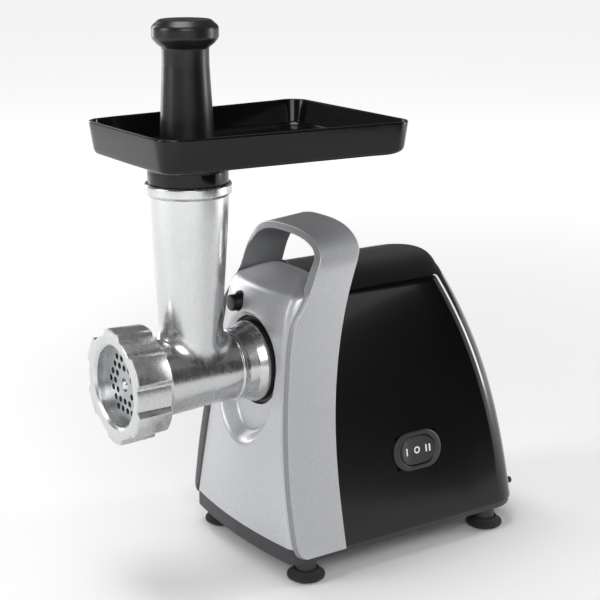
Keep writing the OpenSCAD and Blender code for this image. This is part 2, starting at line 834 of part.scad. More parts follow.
module terminal_block() {
  color("ivory") difference() {
    translate([-52, 4, base_z + floor_t]) cube([12, 30, 10]);
    for (i = [0:2]) translate([-46, 9 + 10 * i, base_z + floor_t + 3]) cylinder(r = 1.8, h = 10);
  }
}

// Gearbox

socket_r = spigot_r + 4.5;

module gearbox_outline(extra) {
  tip = output_m * (output_n / 2 + 1) + gear_room + extra;
  hull() {
    translate(output_at) circle(tip, $fn = 48);
    translate(middle_at) circle(middle_m * (middle_n / 2 + 1) + gear_room + extra, $fn = 32);
    translate(first_at) circle(first_m * (first_n / 2 + 1) + gear_room + extra, $fn = 32);
    translate(motor_at) circle(11 + extra, $fn = 32);
  }
}

gearbox_screw_at = [
  output_at + 31 * [cos(40), sin(40)],
  output_at + 31 * [cos(160), sin(160)],
  middle_at + 28 * [cos(215), sin(215)],
  first_at + 25.5 * [cos(-15), sin(-15)],
  motor_at + 16.2 * [cos(200), sin(200)]
];

module gearbox_plan(extra) {
  gearbox_outline(extra);
  for (p = gearbox_screw_at) translate(p) circle(4);
}

module gearbox_case() {
  color("darkgray") difference() {
    union() {
      along_y(case_back, plate_back) {
        gearbox_plan(case_wall);
        for (p = motor_screw_at) hull() {
          translate(p) circle(5, $fn = 32);
          translate(motor_at) circle(12, $fn = 32);
        }
      }
      along_y(case_front, case_back) difference() {
        gearbox_plan(case_wall);
        gearbox_outline(0);
      }
      translate([-12, -56, motor_at[1] - 22]) cube([24, 32, 9.5]);
      rod_y(motor_at, bearing_r + 2.5, plate_back - 1, fan_y[0] - 1);
    }
    along_y(case_front - 1, case_back) gearbox_outline(0);
    rod_y(output_at, rear_journal_r + bush_t + 0.02, case_front, plate_back + 1);
    rod_y(middle_at, small_journal_r + small_bush_t + 0.02, case_front, plate_back + 1);
    rod_y(first_at, small_journal_r + small_bush_t + 0.02, case_front, plate_back + 1);
    rod_y(motor_at, bearing_r + 0.02, case_front, 0);
    for (p = gearbox_screw_at) rod_y(p, 1.5, case_front - 1, case_front + 18);
    for (p = motor_screw_at) rod_y(p, 1.9, case_front, plate_back + 1);
    for (y = [-48, -32]) translate([0, y, motor_at[1] - 23]) cylinder(r = 1.6, h = 9);
  }
}

module gearbox_cover() {
  color("darkgray") difference() {
    union() {
      along_y(cover_front, case_front) {
        gearbox_plan(case_wall);
        hull() {
          translate(lock_at) circle(6.5, $fn = 32);
          translate([lock_at[0], axis_z + 18]) circle(8, $fn = 32);
        }
      }
      rod_y(output_at, front_journal_r + bush_t + 2.5, front_boss_y, case_front);
    }
    rod_y(output_at, front_journal_r + bush_t + 0.02, front_boss_y - 1, case_front + 1);
    rod_y(middle_at, small_journal_r + small_bush_t + 0.02, cover_front - 1, case_front + 1);
    rod_y(first_at, small_journal_r + small_bush_t + 0.02, cover_front - 1, case_front + 1);
    for (p = gearbox_screw_at) rod_y(p, 1.9, cover_front - 1, case_front + 1);
    rod_y(lock_at, 2.4 + slide_gap, cover_front - 1, case_front + 1);
  }
}

module gearbox_screws() {
  color("silver") {
    for (p = gearbox_screw_at) {
      rod_y(p, 3.2, cover_front - 2.2, cover_front);
      rod_y(p, 1.4, cover_front - 1, case_front + 15);
    }
    for (y = [-48, -32]) translate([0, y, base_z + 6]) {
      cylinder(r = 3.6, h = 2);
      cylinder(r = 1.5, h = motor_at[1] - base_z - 22);
    }
  }
}

module head_socket() {
  color("#161616") difference() {
    union() {
      ring_y(output_at, socket_r, spigot_r + run_fit, -seat_y + seat_gap, cover_front);
      ring_y(output_at, socket_r + 2, spigot_r + run_fit, cover_front - 3, cover_front);
    }
    for (p = gearbox_screw_at) rod_y(p, 3.6, cover_front - 4, cover_front + 1);
  }
}

module front_bush() {
  color("goldenrod")
    ring_y(output_at, front_journal_r + bush_t, front_journal_r + run_fit, front_boss_y, case_front);
}

module rear_bush() {
  color("goldenrod")
    ring_y(output_at, rear_journal_r + bush_t, rear_journal_r + run_fit, case_back, plate_back);
}

module small_bushes() {
  color("goldenrod") for (p = [middle_at, first_at]) {
    ring_y(p, small_journal_r + small_bush_t, small_journal_r + run_fit, cover_front, case_front);
    ring_y(p, small_journal_r + small_bush_t, small_journal_r + run_fit, case_back, plate_back);
  }
}

module drive_coupler() {
  color("gray") difference() {
    union() {
      rod_y(output_at, coupler_r, coupler_front, front_boss_y - 0.2);
      rod_y(output_at, front_journal_r, front_boss_y - 1, case_front + 1);
      hex_y(output_at, output_hex, case_front, output_layer[1] + 0.5);
      rod_y(output_at, rear_journal_r, output_layer[1], plate_back);
    }
    hex_y(output_at, tail_af + 2 * slide_gap, coupler_front - 1, coupler_front + 14);
  }
}

module output_gear() {
  color("whitesmoke") difference() {
    gear(output_at, output_m, output_n, -small_shift, output_turn, output_layer);
    hex_y(output_at, output_hex + 2 * hex_gap, output_layer[0] - 1, output_layer[1] + 1);
  }
}

module middle_gear() {
  color("whitesmoke") difference() {
    union() {
      gear(middle_at, middle_m, middle_n, -small_shift, 0, middle_layer);
      gear(middle_at, output_m, small_n, small_shift, middle_small_turn, [output_layer[0], middle_layer[0] + 1]);
    }
    hex_y(middle_at, middle_hex + 2 * hex_gap, -60, -30);
  }
}

module middle_shaft() {
  color("silver") {
    hex_y(middle_at, middle_hex, output_layer[0], middle_layer[1]);
    rod_y(middle_at, small_journal_r, cover_front, plate_back);
  }
}

module first_gear() {
  color("whitesmoke") difference() {
    union() {
      gear(first_at, first_m, first_n, -pinion_shift, 0, first_layer);
      gear(first_at, middle_m, small_n, small_shift, first_small_turn, [small_front, first_layer[0] + 1]);
    }
    hex_y(first_at, first_hex + 2 * hex_gap, -60, -20);
  }
}

module first_shaft() {
  color("silver") {
    hex_y(first_at, first_hex, small_front, first_layer[1]);
    rod_y(first_at, small_journal_r, cover_front, plate_back);
  }
}

// Motor

motor_screw_at = [motor_at + [20.5, 20.5], motor_at - [20.5, 20.5]];

module motor_pinion() {
  color("silver") difference() {
    gear(motor_at, first_m, pinion_n, pinion_shift, pinion_turn, [first_layer[0], case_back - 0.6]);
    hex_y(motor_at, pinion_hex + 2 * hex_gap, first_layer[0] - 1, case_back + 1);
  }
}

module armature_shaft() {
  color("silver") {
    rod_y(motor_at, shaft_r, case_back - 0.5, shaft_end);
    hex_y(motor_at, pinion_hex, first_layer[0], case_back);
  }
}

module armature_core() {
  color("dimgray") difference() {
    rod_y(motor_at, core_r, stack_y[0] + 1, stack_y[1] - 1);
    rod_y(motor_at, shaft_r + 0.02, -40, 100);
    for (k = [0:11]) along_y(-1, stack_y[1] + 1) translate(motor_at) rotate(30 * k)
      translate([core_r - 6, -1]) square([8, 2]);
  }
}

module armature_winding() {
  color("#8a4b23") for (y = [[stack_y[0] - 4, stack_y[0] + 1], [stack_y[1] - 1, stack_y[1] + 4]])
    ring_y(motor_at, core_r - 3.5, shaft_r + 0.02, y[0], y[1]);
}

module commutator() {
  color("#b87333") difference() {
    rod_y(motor_at, comm_r, comm_y[0], comm_y[1]);
    rod_y(motor_at, shaft_r + 0.02, comm_y[0] - 1, comm_y[1] + 1);
    for (k = [0:23]) along_y(comm_y[0] - 1, comm_y[1] + 1) translate(motor_at) rotate(15 * k)
      translate([comm_r - 1.2, -0.25]) square([3, 0.5]);
  }
}

module cooling_fan() {
  color("#303030") difference() {
    union() {
      rod_y(motor_at, shaft_r + 4, fan_y[0], fan_y[1], 12);
      rod_y(motor_at, 22, fan_y[1] - 1.2, fan_y[1], 12);
      for (k = [0:11]) along_y(fan_y[0] + 1, fan_y[1] - 0.5) translate(motor_at) rotate(30 * k)
        translate([5, -0.7]) square([16, 1.4]);
    }
    rod_y(motor_at, shaft_r + 0.02, -40, 10);
  }
}

module motor_bearings() {
  color("goldenrod") {
    ring_y(motor_at, bearing_r, shaft_r + run_fit, case_back, case_back + bearing_l);
    ring_y(motor_at, bearing_r, shaft_r + run_fit, bracket_y[0], bracket_y[0] + bearing_l);
  }
}

module stator_stack() {
  color("slategray") difference() {
    along_y(stack_y[0], stack_y[1]) translate(motor_at) square(stator_w, center = true);
    rod_y(motor_at, core_r + air_gap, -1, stack_l + 1);
    // Windows for the field coils, above and below the rotor
    for (s = [-1, 1]) along_y(-1, stack_l + 1) translate(motor_at + [0, s * 17]) square([34, 9], center = true);
    for (p = motor_screw_at) rod_y(p, 2, -1, stack_l + 1);
  }
}

module field_coils() {
  color("#8a4b23") for (s = [-1, 1]) difference() {
    along_y(stack_y[0] - coil_l, stack_y[1] + coil_l) translate(motor_at + [0, s * 18.6])
      square([33, 5], center = true);
    rod_y(motor_at, core_r + air_gap, -20, stack_l + 20);
  }
}

module motor_bracket() {
  color("darkgray") difference() {
    union() {
      along_y(bracket_y[0], bracket_y[1]) translate(motor_at) square([stator_w, 30], center = true);
      rod_y(motor_at, bearing_r + 2.5, bracket_y[0], bracket_y[0] + bearing_l);
      for (p = motor_screw_at) {
        rod_y(p, 3.9, stack_l, bracket_y[1]);
        along_y(bracket_y[0], bracket_y[1]) translate((p + [p[0], motor_at[1]]) / 2)
          square([8, abs(p[1] - motor_at[1])], center = true);
      }
      // Brush holders, open at the front and closed at their outer ends
      for (x = [12, -29]) translate([motor_at[0] + x, comm_y[0] + 1, motor_at[1] - 5])
        cube([17, bracket_y[0] - comm_y[0], 10]);
    }
    rod_y(motor_at, bearing_r + 0.02, 0, 100);
    for (x = [11, -27.6]) translate([motor_at[0] + x, comm_y[0] + 0.5, motor_at[1] - brush_w / 2 - 0.2])
      cube([16.6, brush_l + 0.6, brush_w + 0.4]);
    for (p = motor_screw_at) rod_y(p, 2, 0, 100);
  }
}

module carbon_brushes() {
  near = comm_r + run_fit;
  color("#222222") for (x = [near, -near - brush_out])
    translate([motor_at[0] + x, comm_y[0] + 1, motor_at[1] - brush_w / 2])
      cube([brush_out, brush_l - 0.4, brush_w]);
}

module brush_springs() {
  out = comm_r + run_fit + brush_out + 0.1;
  color("silver") for (s = [-1, 1])
    translate([motor_at[0] + s * out, comm_y[0] + brush_l / 2 + 0.8, motor_at[1]])
      rotate([0, s * 90, 0]) coil(1.7, 0.3, 5, 4);
}

module motor_screws() {
  color("silver") for (p = motor_screw_at) {
    rod_y(p, 3.2, bracket_y[1], bracket_y[1] + 2.2);
    rod_y(p, 1.8, case_back + 0.5, bracket_y[1] + 1);
  }
}

// Grinding head

module grinder_head() {
  color("gainsboro") difference() {
    union() {
      turned_on_axis([[0, spigot_end], [spigot_r, spigot_end], [spigot_r, seat_y], [spigot_r + 1.9, seat_y],
        [spigot_r + 1.9, seat_y + 1.5], [barrel_out_r + 2, seat_y + 6], [barrel_out_r + 0.2, seat_y + 13],
        [barrel_out_r + 0.8, seat_y + 15.4], [barrel_out_r + 0.8, seat_y + 16.6], [barrel_out_r, seat_y + 18],
        [barrel_out_r + 2.4, bell_rear - 3], [barrel_out_r + 2.8, bell_rear], [bell_r, bell_rear],
        [bell_r, bell_front], [0, bell_front]]);
      translate([0, -neck_y, 0]) rotate_extrude() polygon([[0, axis_z], [neck_foot_r + 2.6, axis_z],
        [neck_foot_r + 2.9, axis_z + 29], [neck_top_r + 4, neck_top_z - 18],
        [neck_top_r + 4.4, neck_top_z - rim_bead_h - 1], [rim_bead_r, neck_top_z - rim_bead_h],
        [rim_bead_r, neck_top_z - 1], [rim_bead_r - 1, neck_top_z], [0, neck_top_z]]);
      // Fin in front of the neck
      translate([-2, 0, 0]) rotate([90, 0, 90]) linear_extrude(4)
        polygon([[-neck_y - neck_foot_r - 8, axis_z + barrel_out_r - 1], [-neck_y - 10, axis_z + barrel_out_r - 1],
          [-neck_y - 10, axis_z + barrel_out_r + 16], [-neck_y - neck_foot_r - 2.2, axis_z + barrel_out_r + 14]]);
    }
    turned_on_axis([[0, plate_rear], [plate_r + seat_gap, plate_rear], [plate_r + seat_gap, plate_front + 5],
      [0, plate_front + 5]]);
    turned_on_axis([[0, chamber_rear], [chamber_r, chamber_rear], [chamber_r, plate_rear + 1],
      [0, plate_rear + 1]]);
    rod_y(output_at, barrel_r, -chamber_rear - 1, -rear_wall_front);
    rod_y(output_at, journal_r + run_fit, -rear_wall_front - 1, -rear_wall_rear + 1);
    rod_y(output_at, coupler_r + 5, -rear_wall_rear, -spigot_end + 1);
    translate([0, -neck_y, 0]) rotate_extrude() polygon([[0, axis_z], [neck_foot_r, axis_z],
      [neck_foot_r, axis_z + barrel_r], [neck_top_r, neck_top_z - counter_d], [counter_r, neck_top_z - counter_d],
      [counter_r, neck_top_z + 1], [0, neck_top_z + 1]]);
  }
}

module ring_nut() {
  lug_r = bell_r + 5;
  color("gainsboro") difference() {
    union() {
      turned_on_axis([[0, nut_rear], [bell_r + 2.2, nut_rear], [bell_r + 2.2, nut_front - 0.8],
        [bell_r + 1.4, nut_front], [0, nut_front]]);
      for (k = [0:5]) along_y(-nut_front + 0.4, -nut_rear - 1) translate(output_at) rotate(90 + 60 * k)
        polygon([[0, -8.6], [lug_r - 3, -8.6], [lug_r - 0.6, -7], [lug_r, 0], [lug_r - 0.6, 7], [lug_r - 3, 8.6],
          [0, 8.6]]);
    }
    rod_y(output_at, nut_open_r, -nut_front - 1, -plate_front + 1);
    // Relief behind the lip
    rod_y(output_at, nut_open_r + lip_relief, -plate_front - lip_relief, -plate_front + 1);
    rod_y(output_at, bell_r + run_fit, -plate_front, -nut_rear + 1);
  }
}

// Points of a hexagonal lattice on one ring
function hex_ring(n) = [for (side = [0:5], i = [0:n - 1])
  let (a = 60 * side, b = a + 120)
  plate_pitch * (n * [cos(a), sin(a)] + i * [cos(b), sin(b)])];

module hole_plate() {
  color("gray") difference() {
    rod_y(output_at, plate_r, -plate_front, -plate_rear);
    rod_y(output_at, pin_r + run_fit, -plate_front - 1, -plate_rear + 1);
    for (n = [2, 3], p = hex_ring(n)) rod_y(output_at + p, plate_hole_d / 2, -plate_front - 1, -plate_rear + 1);
  }
}

module cutting_knife() {
  blade = chamber_r - 2.5;
  color("silver") difference() {
    along_y(-plate_rear + knife_gap, -plate_rear + knife_gap + knife_t) translate(output_at) {
      circle(pin_sq, $fn = 12);
      for (k = [0:3]) rotate(90 * k) polygon([[3, -5], [blade, -3.4], [blade, 2.2], [3, 6]]);
    }
    along_y(-plate_rear - 1, -chamber_rear + 2) translate(output_at)
      square(pin_sq + 2 * hex_gap, center = true);
  }
}

// Outline of the screw across its axis: a round core with one flight
function screw_plan(core, tip) = [for (a = [0:12:348])
  let (d = abs(a - 180), k = d < 24 ? 1 : max(0, 1 - (d - 24) / 36)) (core + (tip - core) * k) * [cos(a), sin(a)]];

module feed_screw() {
  flight = screw_front - screw_rear - 3;
  color("lightgray") difference() {
    union() {
      translate([0, -screw_rear - 3, axis_z]) rotate([90, 0, 0])
        linear_extrude(flight, twist = -360 * flight / flight_pitch, slices = 48) polygon(screw_plan(8.6, screw_r));
      rod_y(output_at, 11.5, -screw_rear - 3.5, -screw_rear);
      rod_y(output_at, journal_r, -screw_rear - 1, -rear_wall_rear);
      hex_y(output_at, tail_af, -rear_wall_rear - 1, -tail_end);
    }
    rod_y(output_at, pin_r + 0.02, -screw_front - 1, -screw_front + 15);
  }
}

module screw_pin() {
  color("silver") {
    rod_y(output_at, pin_r, -plate_front - 0.6, -screw_front + 14);
    along_y(-plate_rear + 0.1, -screw_front) translate(output_at) square(pin_sq, center = true);
  }
}

module thrust_washer() {
  color("white") ring_y(output_at, 12, journal_r + 0.1, -screw_rear, -rear_wall_front);
}

// Tray and pusher

// The tray's outline in plan with round corners, inset by t, from the front right corner round to the left
function tray_plan(t, r) =
  let (
    slope = atan((tray_rear_w - tray_front_w) / (tray_ahead + tray_behind)),
    fw = tray_front_w - t,
    rw = tray_rear_w - t,
    fy = -neck_y - tray_ahead + t,
    ry = -neck_y + tray_behind - t,
    steps = 6,
    right = concat(
      [for (i = [0:steps]) let (a = -90 + (90 - slope) * i / steps) [fw - r + r * cos(a), fy + r + r * sin(a)]],
      [for (i = [1:3]) [fw + (rw - fw) * i / 4, fy + (ry - fy) * i / 4]],
      [for (i = [0:steps]) let (a = -slope + (90 + slope) * i / steps) [rw - r + r * cos(a), ry - r + r * sin(a)]],
      [[(rw - r) / 2, ry]]
    )
  )
  concat(right, [[0, ry]], [for (i = [len(right) - 1:-1:0]) [-right[i][0], right[i][1]]], [[0, fy]]);

// A circle round the throat with one point towards each point of the outline
function throat_ring(outline, r) = [for (p = outline) let (d = p - [0, -neck_y]) [0, -neck_y] + r * d / norm(d)];

module hopper_tray() {
  outline = tray_plan(0, 12);
  foot = tray_plan(2.5, 12);
  inner = tray_plan(tray_t, 10);
  floor_in = tray_plan(2.5 + tray_t, 10);
  color("#101012") difference() {
    union() {
      ring_solid([
        at_height(throat_ring(outline, throat_r - 1), collar_top_z - 3),
        at_height(throat_ring(outline, collar_r - 1), collar_top_z - 3),
        at_height(throat_ring(outline, collar_r + 1), collar_top_z),
        at_height(foot, tray_floor_z - tray_t),
        at_height(outline, tray_rim_z),
        at_height(inner, tray_rim_z),
        at_height(floor_in, tray_floor_z),
        at_height(throat_ring(outline, collar_r), collar_top_z + 2.4),
        at_height(throat_ring(outline, throat_r - 1), collar_top_z + 1)
      ]);
      translate([0, -neck_y, neck_top_z + seat_gap]) cylinder(r = collar_r, h = collar_h - 2);
      translate([0, -neck_y, neck_top_z - counter_d + 1]) cylinder(r = spigot_out_r, h = counter_d);
    }
    translate([0, -neck_y, neck_top_z - counter_d]) cylinder(r = throat_r, h = 60);
  }
}

module food_pusher() {
  neck_z = pusher_top_z - knob_h;
  color("#161616") translate([0, -neck_y, 0]) rotate_extrude() polygon(concat(
    [[0, pusher_foot_z], [pusher_foot_r - 1.5, pusher_foot_z], [pusher_foot_r, pusher_foot_z + 1.5],
      [pusher_max_r, neck_top_z - 2], [pusher_max_r, neck_top_z + 3], [pusher_waist_r, neck_z]],
    [for (a = [-80:20:80]) [knob_r - 7 + 7 * cos(a), pusher_top_z - 7.4 + 7 * sin(a)]],
    [[knob_r - 9, pusher_top_z - 0.4], [0, pusher_top_z - 1.4]]
  ));
}

base_plate();
foot_front_right();
foot_front_left();
foot_rear_right();
foot_rear_left();
foot_screws();
front_cover();
rear_housing();
handle_band();
housing_screws();
band_screws();
lock_button();
lock_spring();
switch_bezel();
switch_body();
switch_rocker();
reset_button();
reset_spring();
breaker_body();
cord_grommet();
terminal_block();
head_socket();
gearbox_cover();
gearbox_case();
gearbox_screws();
front_bush();
rear_bush();
small_bushes();
drive_coupler();
output_gear();
middle_gear();
middle_shaft();
first_gear();
first_shaft();
motor_pinion();
armature_shaft();
armature_core();
armature_winding();
commutator();
cooling_fan();
motor_bearings();
stator_stack();
field_coils();
motor_bracket();
carbon_brushes();
brush_springs();
motor_screws();
grinder_head();
ring_nut();
hole_plate();
cutting_knife();
feed_screw();
screw_pin();
thrust_washer();
hopper_tray();
food_pusher();
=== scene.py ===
"""Looks of a free-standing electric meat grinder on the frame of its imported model.

Each sub-assembly is a class with its sizes in millimetres and methods that build and dress its pieces.
X runs to the machine's right seen from the front, the outlet faces -Y, and Z is up.
"""

import json
import logging
from dataclasses import dataclass
from enum import Enum
from math import atan, atan2, cos, hypot, pi, radians, sin, sqrt, tan
from typing import Callable, Iterable, Sequence

import bmesh
import bpy
from mathutils import Matrix, Vector


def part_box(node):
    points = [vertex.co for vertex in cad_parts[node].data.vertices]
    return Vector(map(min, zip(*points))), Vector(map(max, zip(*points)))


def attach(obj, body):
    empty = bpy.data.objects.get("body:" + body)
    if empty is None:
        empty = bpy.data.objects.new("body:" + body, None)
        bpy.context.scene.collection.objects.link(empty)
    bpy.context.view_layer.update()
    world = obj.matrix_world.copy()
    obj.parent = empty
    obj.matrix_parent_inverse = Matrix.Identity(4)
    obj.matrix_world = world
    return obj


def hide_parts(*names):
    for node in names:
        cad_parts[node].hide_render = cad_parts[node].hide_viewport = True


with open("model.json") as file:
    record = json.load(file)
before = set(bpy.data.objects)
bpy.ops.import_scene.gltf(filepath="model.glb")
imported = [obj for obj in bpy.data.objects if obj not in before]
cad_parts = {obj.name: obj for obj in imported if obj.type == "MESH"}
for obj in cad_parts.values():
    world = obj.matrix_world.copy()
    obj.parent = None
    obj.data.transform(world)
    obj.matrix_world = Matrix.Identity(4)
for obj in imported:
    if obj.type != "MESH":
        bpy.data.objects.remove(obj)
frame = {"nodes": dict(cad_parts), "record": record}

LOG = logging.getLogger("grinder")
MM = 0.001
Pair = tuple[float, float]
Corner = tuple[float, float, float]
Row = list[Vector]
Colour = tuple[float, float, float]
Ring = tuple[list[Pair], float]


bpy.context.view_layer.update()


def cad_box(node: str) -> tuple[Vector, Vector]:
    """Returns a CAD node's lowest and highest corner, in millimetres."""
    low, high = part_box(node)
    return low / MM, high / MM


# ---------------------------------------------------------------- shapes


def blend_points(a: Vector, b: Vector, c: Vector, t: float) -> Vector:
    """Returns the point at t on the curve from a to c that is pulled towards b."""
    return a * (1 - t) ** 2 + b * (2 * t * (1 - t)) + c * t**2


def rounded(corners: Sequence[Corner], closed: bool = False, steps: int = 5) -> list[Pair]:
    """Rounds the corners of an outline.

    Args:
        corners: Each corner as two coordinates and the radius it is rounded to.
        closed: Whether the last corner joins the first.
        steps: How many pieces each rounded corner has.

    Returns:
        The outline's points.
    """
    count = len(corners)
    points: list[Pair] = []
    for i, (x, y, radius) in enumerate(corners):
        here = Vector((x, y))
        if radius <= 0 or (not closed and i in (0, count - 1)):
            points.append((x, y))
            continue
        before = Vector(corners[i - 1][:2]) - here
        after = Vector(corners[(i + 1) % count][:2]) - here
        half = max(before.angle(after, pi) / 2, 0.05)
        reach = min(radius / max(tan(half), 0.05), 0.49 * before.length, 0.49 * after.length)
        start = here + before.normalized() * reach
        end = here + after.normalized() * reach
        for k in range(steps + 1):
            p = blend_points(start, here, end, k / steps)
            points.append((p.x, p.y))
    return points


def smooth_table(table: Sequence[Pair], x: float) -> float:
    """Returns a value at x on a smooth curve through a table's points.

    Args:
        table: Pairs of place and value, in order of place.
        x: The place asked for.

    Returns:
        The value, held level beyond the table's ends.
    """
    if x <= table[0][0]:
        return table[0][1]
    if x >= table[-1][0]:
        return table[-1][1]
    i = max(k for k in range(len(table) - 1) if table[k][0] <= x)

    def slope(k: int) -> float:
        """Returns the curve's slope at point k."""
        low, high = max(k - 1, 0), min(k + 1, len(table) - 1)
        return (table[high][1] - table[low][1]) / (table[high][0] - table[low][0])

    (x0, y0), (x1, y1) = table[i], table[i + 1]
    span = x1 - x0
    t = (x - x0) / span
    return (
        (2 * t**3 - 3 * t**2 + 1) * y0
        + (t**3 - 2 * t**2 + t) * span * slope(i)
        + (3 * t**2 - 2 * t**3) * y1
        + (t**3 - t**2) * span * slope(i + 1)
    )


def soft_max(a: float, b: float, width: float) -> float:
    """Returns the larger of two values, rounded where they are within a width of each other."""
    near = max(width - abs(a - b), 0) / width
    return max(a, b) + near * near * width / 4


def span(start: float, end: float, steps: int) -> list[float]:
    """Returns evenly spaced values from start to end."""
    return [start + (end - start) * k / steps for k in range(steps + 1)]


class Form:
    """A mesh being put together from grids and caps, in millimetres."""

    def __init__(self) -> None:
        """Starts an empty form."""
        self.points: list[Vector] = []
        self.faces: list[list[int]] = []
        self.slots: list[int] = []

    def add(self, face: list[int], slot: int = 0) -> None:
        """Adds one face."""
        self.faces.append(face)
        self.slots.append(slot)

    def grid(
        self,
        rows: Sequence[Row],
        ring: bool = False,
        loop: bool = False,
        slot_of: Callable[[int], int] | None = None,
    ) -> list[list[int]]:
        """Adds quads between rows of equal counts.

        Args:
            rows: The rows of points.
            ring: Whether each row's last point joins its first.
            loop: Whether the last row joins the first.
            slot_of: Gives the material slot of the quads beside column j.

        Returns:
            The indices of the points, row by row.
        """
        base = len(self.points)
        width = len(rows[0])
        for row in rows:
            self.points.extend(row)
        index = [[base + k * width + j for j in range(width)] for k in range(len(rows))]
        for k in range(len(rows) if loop else len(rows) - 1):
            below, above = index[k], index[(k + 1) % len(rows)]
            for j in range(width if ring else width - 1):
                n = (j + 1) % width
                self.add([below[j], below[n], above[n], above[j]], slot_of(j) if slot_of else 0)
        return index

    def build(self, name: str, *looks: bpy.types.Material, sharp: float = 32) -> bpy.types.Object:
        """Turns the form into a closed object with outward normals.

        Args:
            name: The object's name.
            *looks: Its materials, by slot.
            sharp: Edges turning by more than this many degrees stay sharp.

        Returns:
            The object, at the origin.
        """
        mesh = bpy.data.meshes.new(name)
        mesh.from_pydata([p * MM for p in self.points], [], self.faces)
        for look in looks:
            mesh.materials.append(look)
        mesh.polygons.foreach_set("material_index", self.slots)
        work = bmesh.new()
        work.from_mesh(mesh)
        bmesh.ops.remove_doubles(work, verts=work.verts, dist=1e-6)
        bmesh.ops.dissolve_degenerate(work, dist=1e-7, edges=work.edges)
        bmesh.ops.recalc_face_normals(work, faces=work.faces)
        work.to_mesh(mesh)
        work.free()
        smooth(mesh, sharp)
        obj = bpy.data.objects.new(name, mesh)
        bpy.context.scene.collection.objects.link(obj)
        return obj


def smooth(mesh: bpy.types.Mesh, sharp: float) -> None:
    """Shades a mesh smooth except across edges sharper than an angle in degrees."""
    mesh.shade_smooth()
    mesh.set_sharp_from_angle(angle=radians(sharp))


class Axis(Enum):
    """The line a turned piece is turned round."""

    SCREW = "the feed screw's axis, measured forward of the origin"
    UPRIGHT = "a vertical line, measured up from the table"


def turned_rows(profile: Sequence[Pair], axis: Axis, centre: Vector, sides: int) -> list[Row]:
    """Returns rings of points for a profile of (radius, distance along the axis).

    Args:
        profile: The profile's points.
        axis: Which line they are turned round.
        centre: A point on that line.
        sides: How many points each ring has.

    Returns:
        One ring for each point of the profile.
    """
    rows: list[Row] = []
    for r, h in profile:
        row: Row = []
        for k in range(sides):
            a = 2 * pi * k / sides
            if axis is Axis.SCREW:
                row.append(Vector((centre.x + r * cos(a), centre.y - h, centre.z + r * sin(a))))
            else:
                row.append(Vector((centre.x + r * cos(a), centre.y + r * sin(a), centre.z + h)))
        rows.append(row)
    return rows


def turned(
    name: str,
    corners: Sequence[Corner],
    axis: Axis,
    centre: Vector,
    *looks: bpy.types.Material,
    hollow: bool = False,
    sides: int = 96,
    steps: int = 5,
) -> bpy.types.Object:
    """Makes a turned piece.

    Args:
        name: The object's name.
        corners: The profile as (radius, distance along the axis, corner radius).
        axis: Which line it is turned round.
        centre: A point on that line.
        *looks: Its materials.
        hollow: Whether the profile is a closed ring clear of the axis.
        sides: How many sides the turning has.
        steps: Pieces in each rounded corner.

    Returns:
        The object.
    """
    form = Form()
    rows = turned_rows(rounded(corners, hollow, steps), axis, centre, sides)
    form.grid(rows, ring=True, loop=hollow)
    return form.build(name, *looks)


def cut(obj: bpy.types.Object, tools: Iterable[bpy.types.Object], how: str = "DIFFERENCE") -> None:
    """Cuts tools from an object, or joins them to it, and removes the tools."""
    for tool in tools:
        step = obj.modifiers.new("cut", "BOOLEAN")
        step.operation = how
        step.solver = "EXACT"
        step.object = tool
        bpy.context.view_layer.update()
        graph = bpy.context.evaluated_depsgraph_get()
        result = bpy.data.meshes.new_from_object(obj.evaluated_get(graph))
        obj.modifiers.clear()
        old = obj.data
        obj.data = result
        result.name = obj.name
        bpy.data.meshes.remove(old)
        bpy.data.objects.remove(tool)
    smooth(obj.data, 32)


def merged(obj: bpy.types.Object, others: Iterable[bpy.types.Object]) -> bpy.types.Object:
    """Joins other objects' meshes, which share its materials, into the first object's mesh.

    Args:
        obj: The object that is kept.
        others: The objects that are joined to it and removed.

    Returns:
        The object that is kept.
    """
    work = bmesh.new()
    work.from_mesh(obj.data)
    for other in others:
        work.from_mesh(other.data)
        bpy.data.objects.remove(other)
    work.to_mesh(obj.data)
    work.free()
    return obj


def rod(start: Vector, end: Vector, radius: float, sides: int = 64) -> bpy.types.Object:
    """Makes a plain round cutter between two points.

    Args:
        start: The middle of one end.
        end: The middle of the other.
        radius: Its radius.
        sides: How many sides it has.

    Returns:
        The cutter.
    """
    along = (end - start).normalized()
    side = along.orthogonal().normalized()
    other = along.cross(side)
    form = Form()
    rows = []
    for centre, r in ((start, 0.0), (start, radius), (end, radius), (end, 0.0)):
        rows.append([
            centre + (side * cos(2 * pi * k / sides) + other * sin(2 * pi * k / sides)) * r
            for k in range(sides)
        ])
    form.grid(rows, ring=True)
    return form.build("cutter")


def block(low: Vector, high: Vector) -> bpy.types.Object:
    """Makes a box-shaped cutter between two corners.

    Args:
        low: The lowest corner.
        high: The highest corner.

    Returns:
        The cutter.
    """
    form = Form()
    ring = [(low.x, low.y), (high.x, low.y), (high.x, high.y), (low.x, high.y)]
    rows = [[Vector((x, y, z)) for x, y in ring] for z in (low.z, high.z)]
    index = form.grid(rows, ring=True)
    form.add(index[0])
    form.add(index[1])
    return form.build("cutter")


def settle(obj: bpy.types.Object, body: str, slot: str, *stands_for: str) -> bpy.types.Object:
    """Puts a finished piece on its body and hides the CAD nodes it stands for.

    Args:
        obj: The piece.
        body: The CAD body it moves with.
        slot: The record's material slot; not used.
        *stands_for: The CAD nodes it replaces.

    Returns:
        The piece.
    """
    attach(obj, body)
    if stands_for:
        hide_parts(*stands_for)
    LOG.info("%s: %d faces on %s", obj.name, len(obj.data.polygons), body)
    return obj


# ---------------------------------------------------------------- finishes


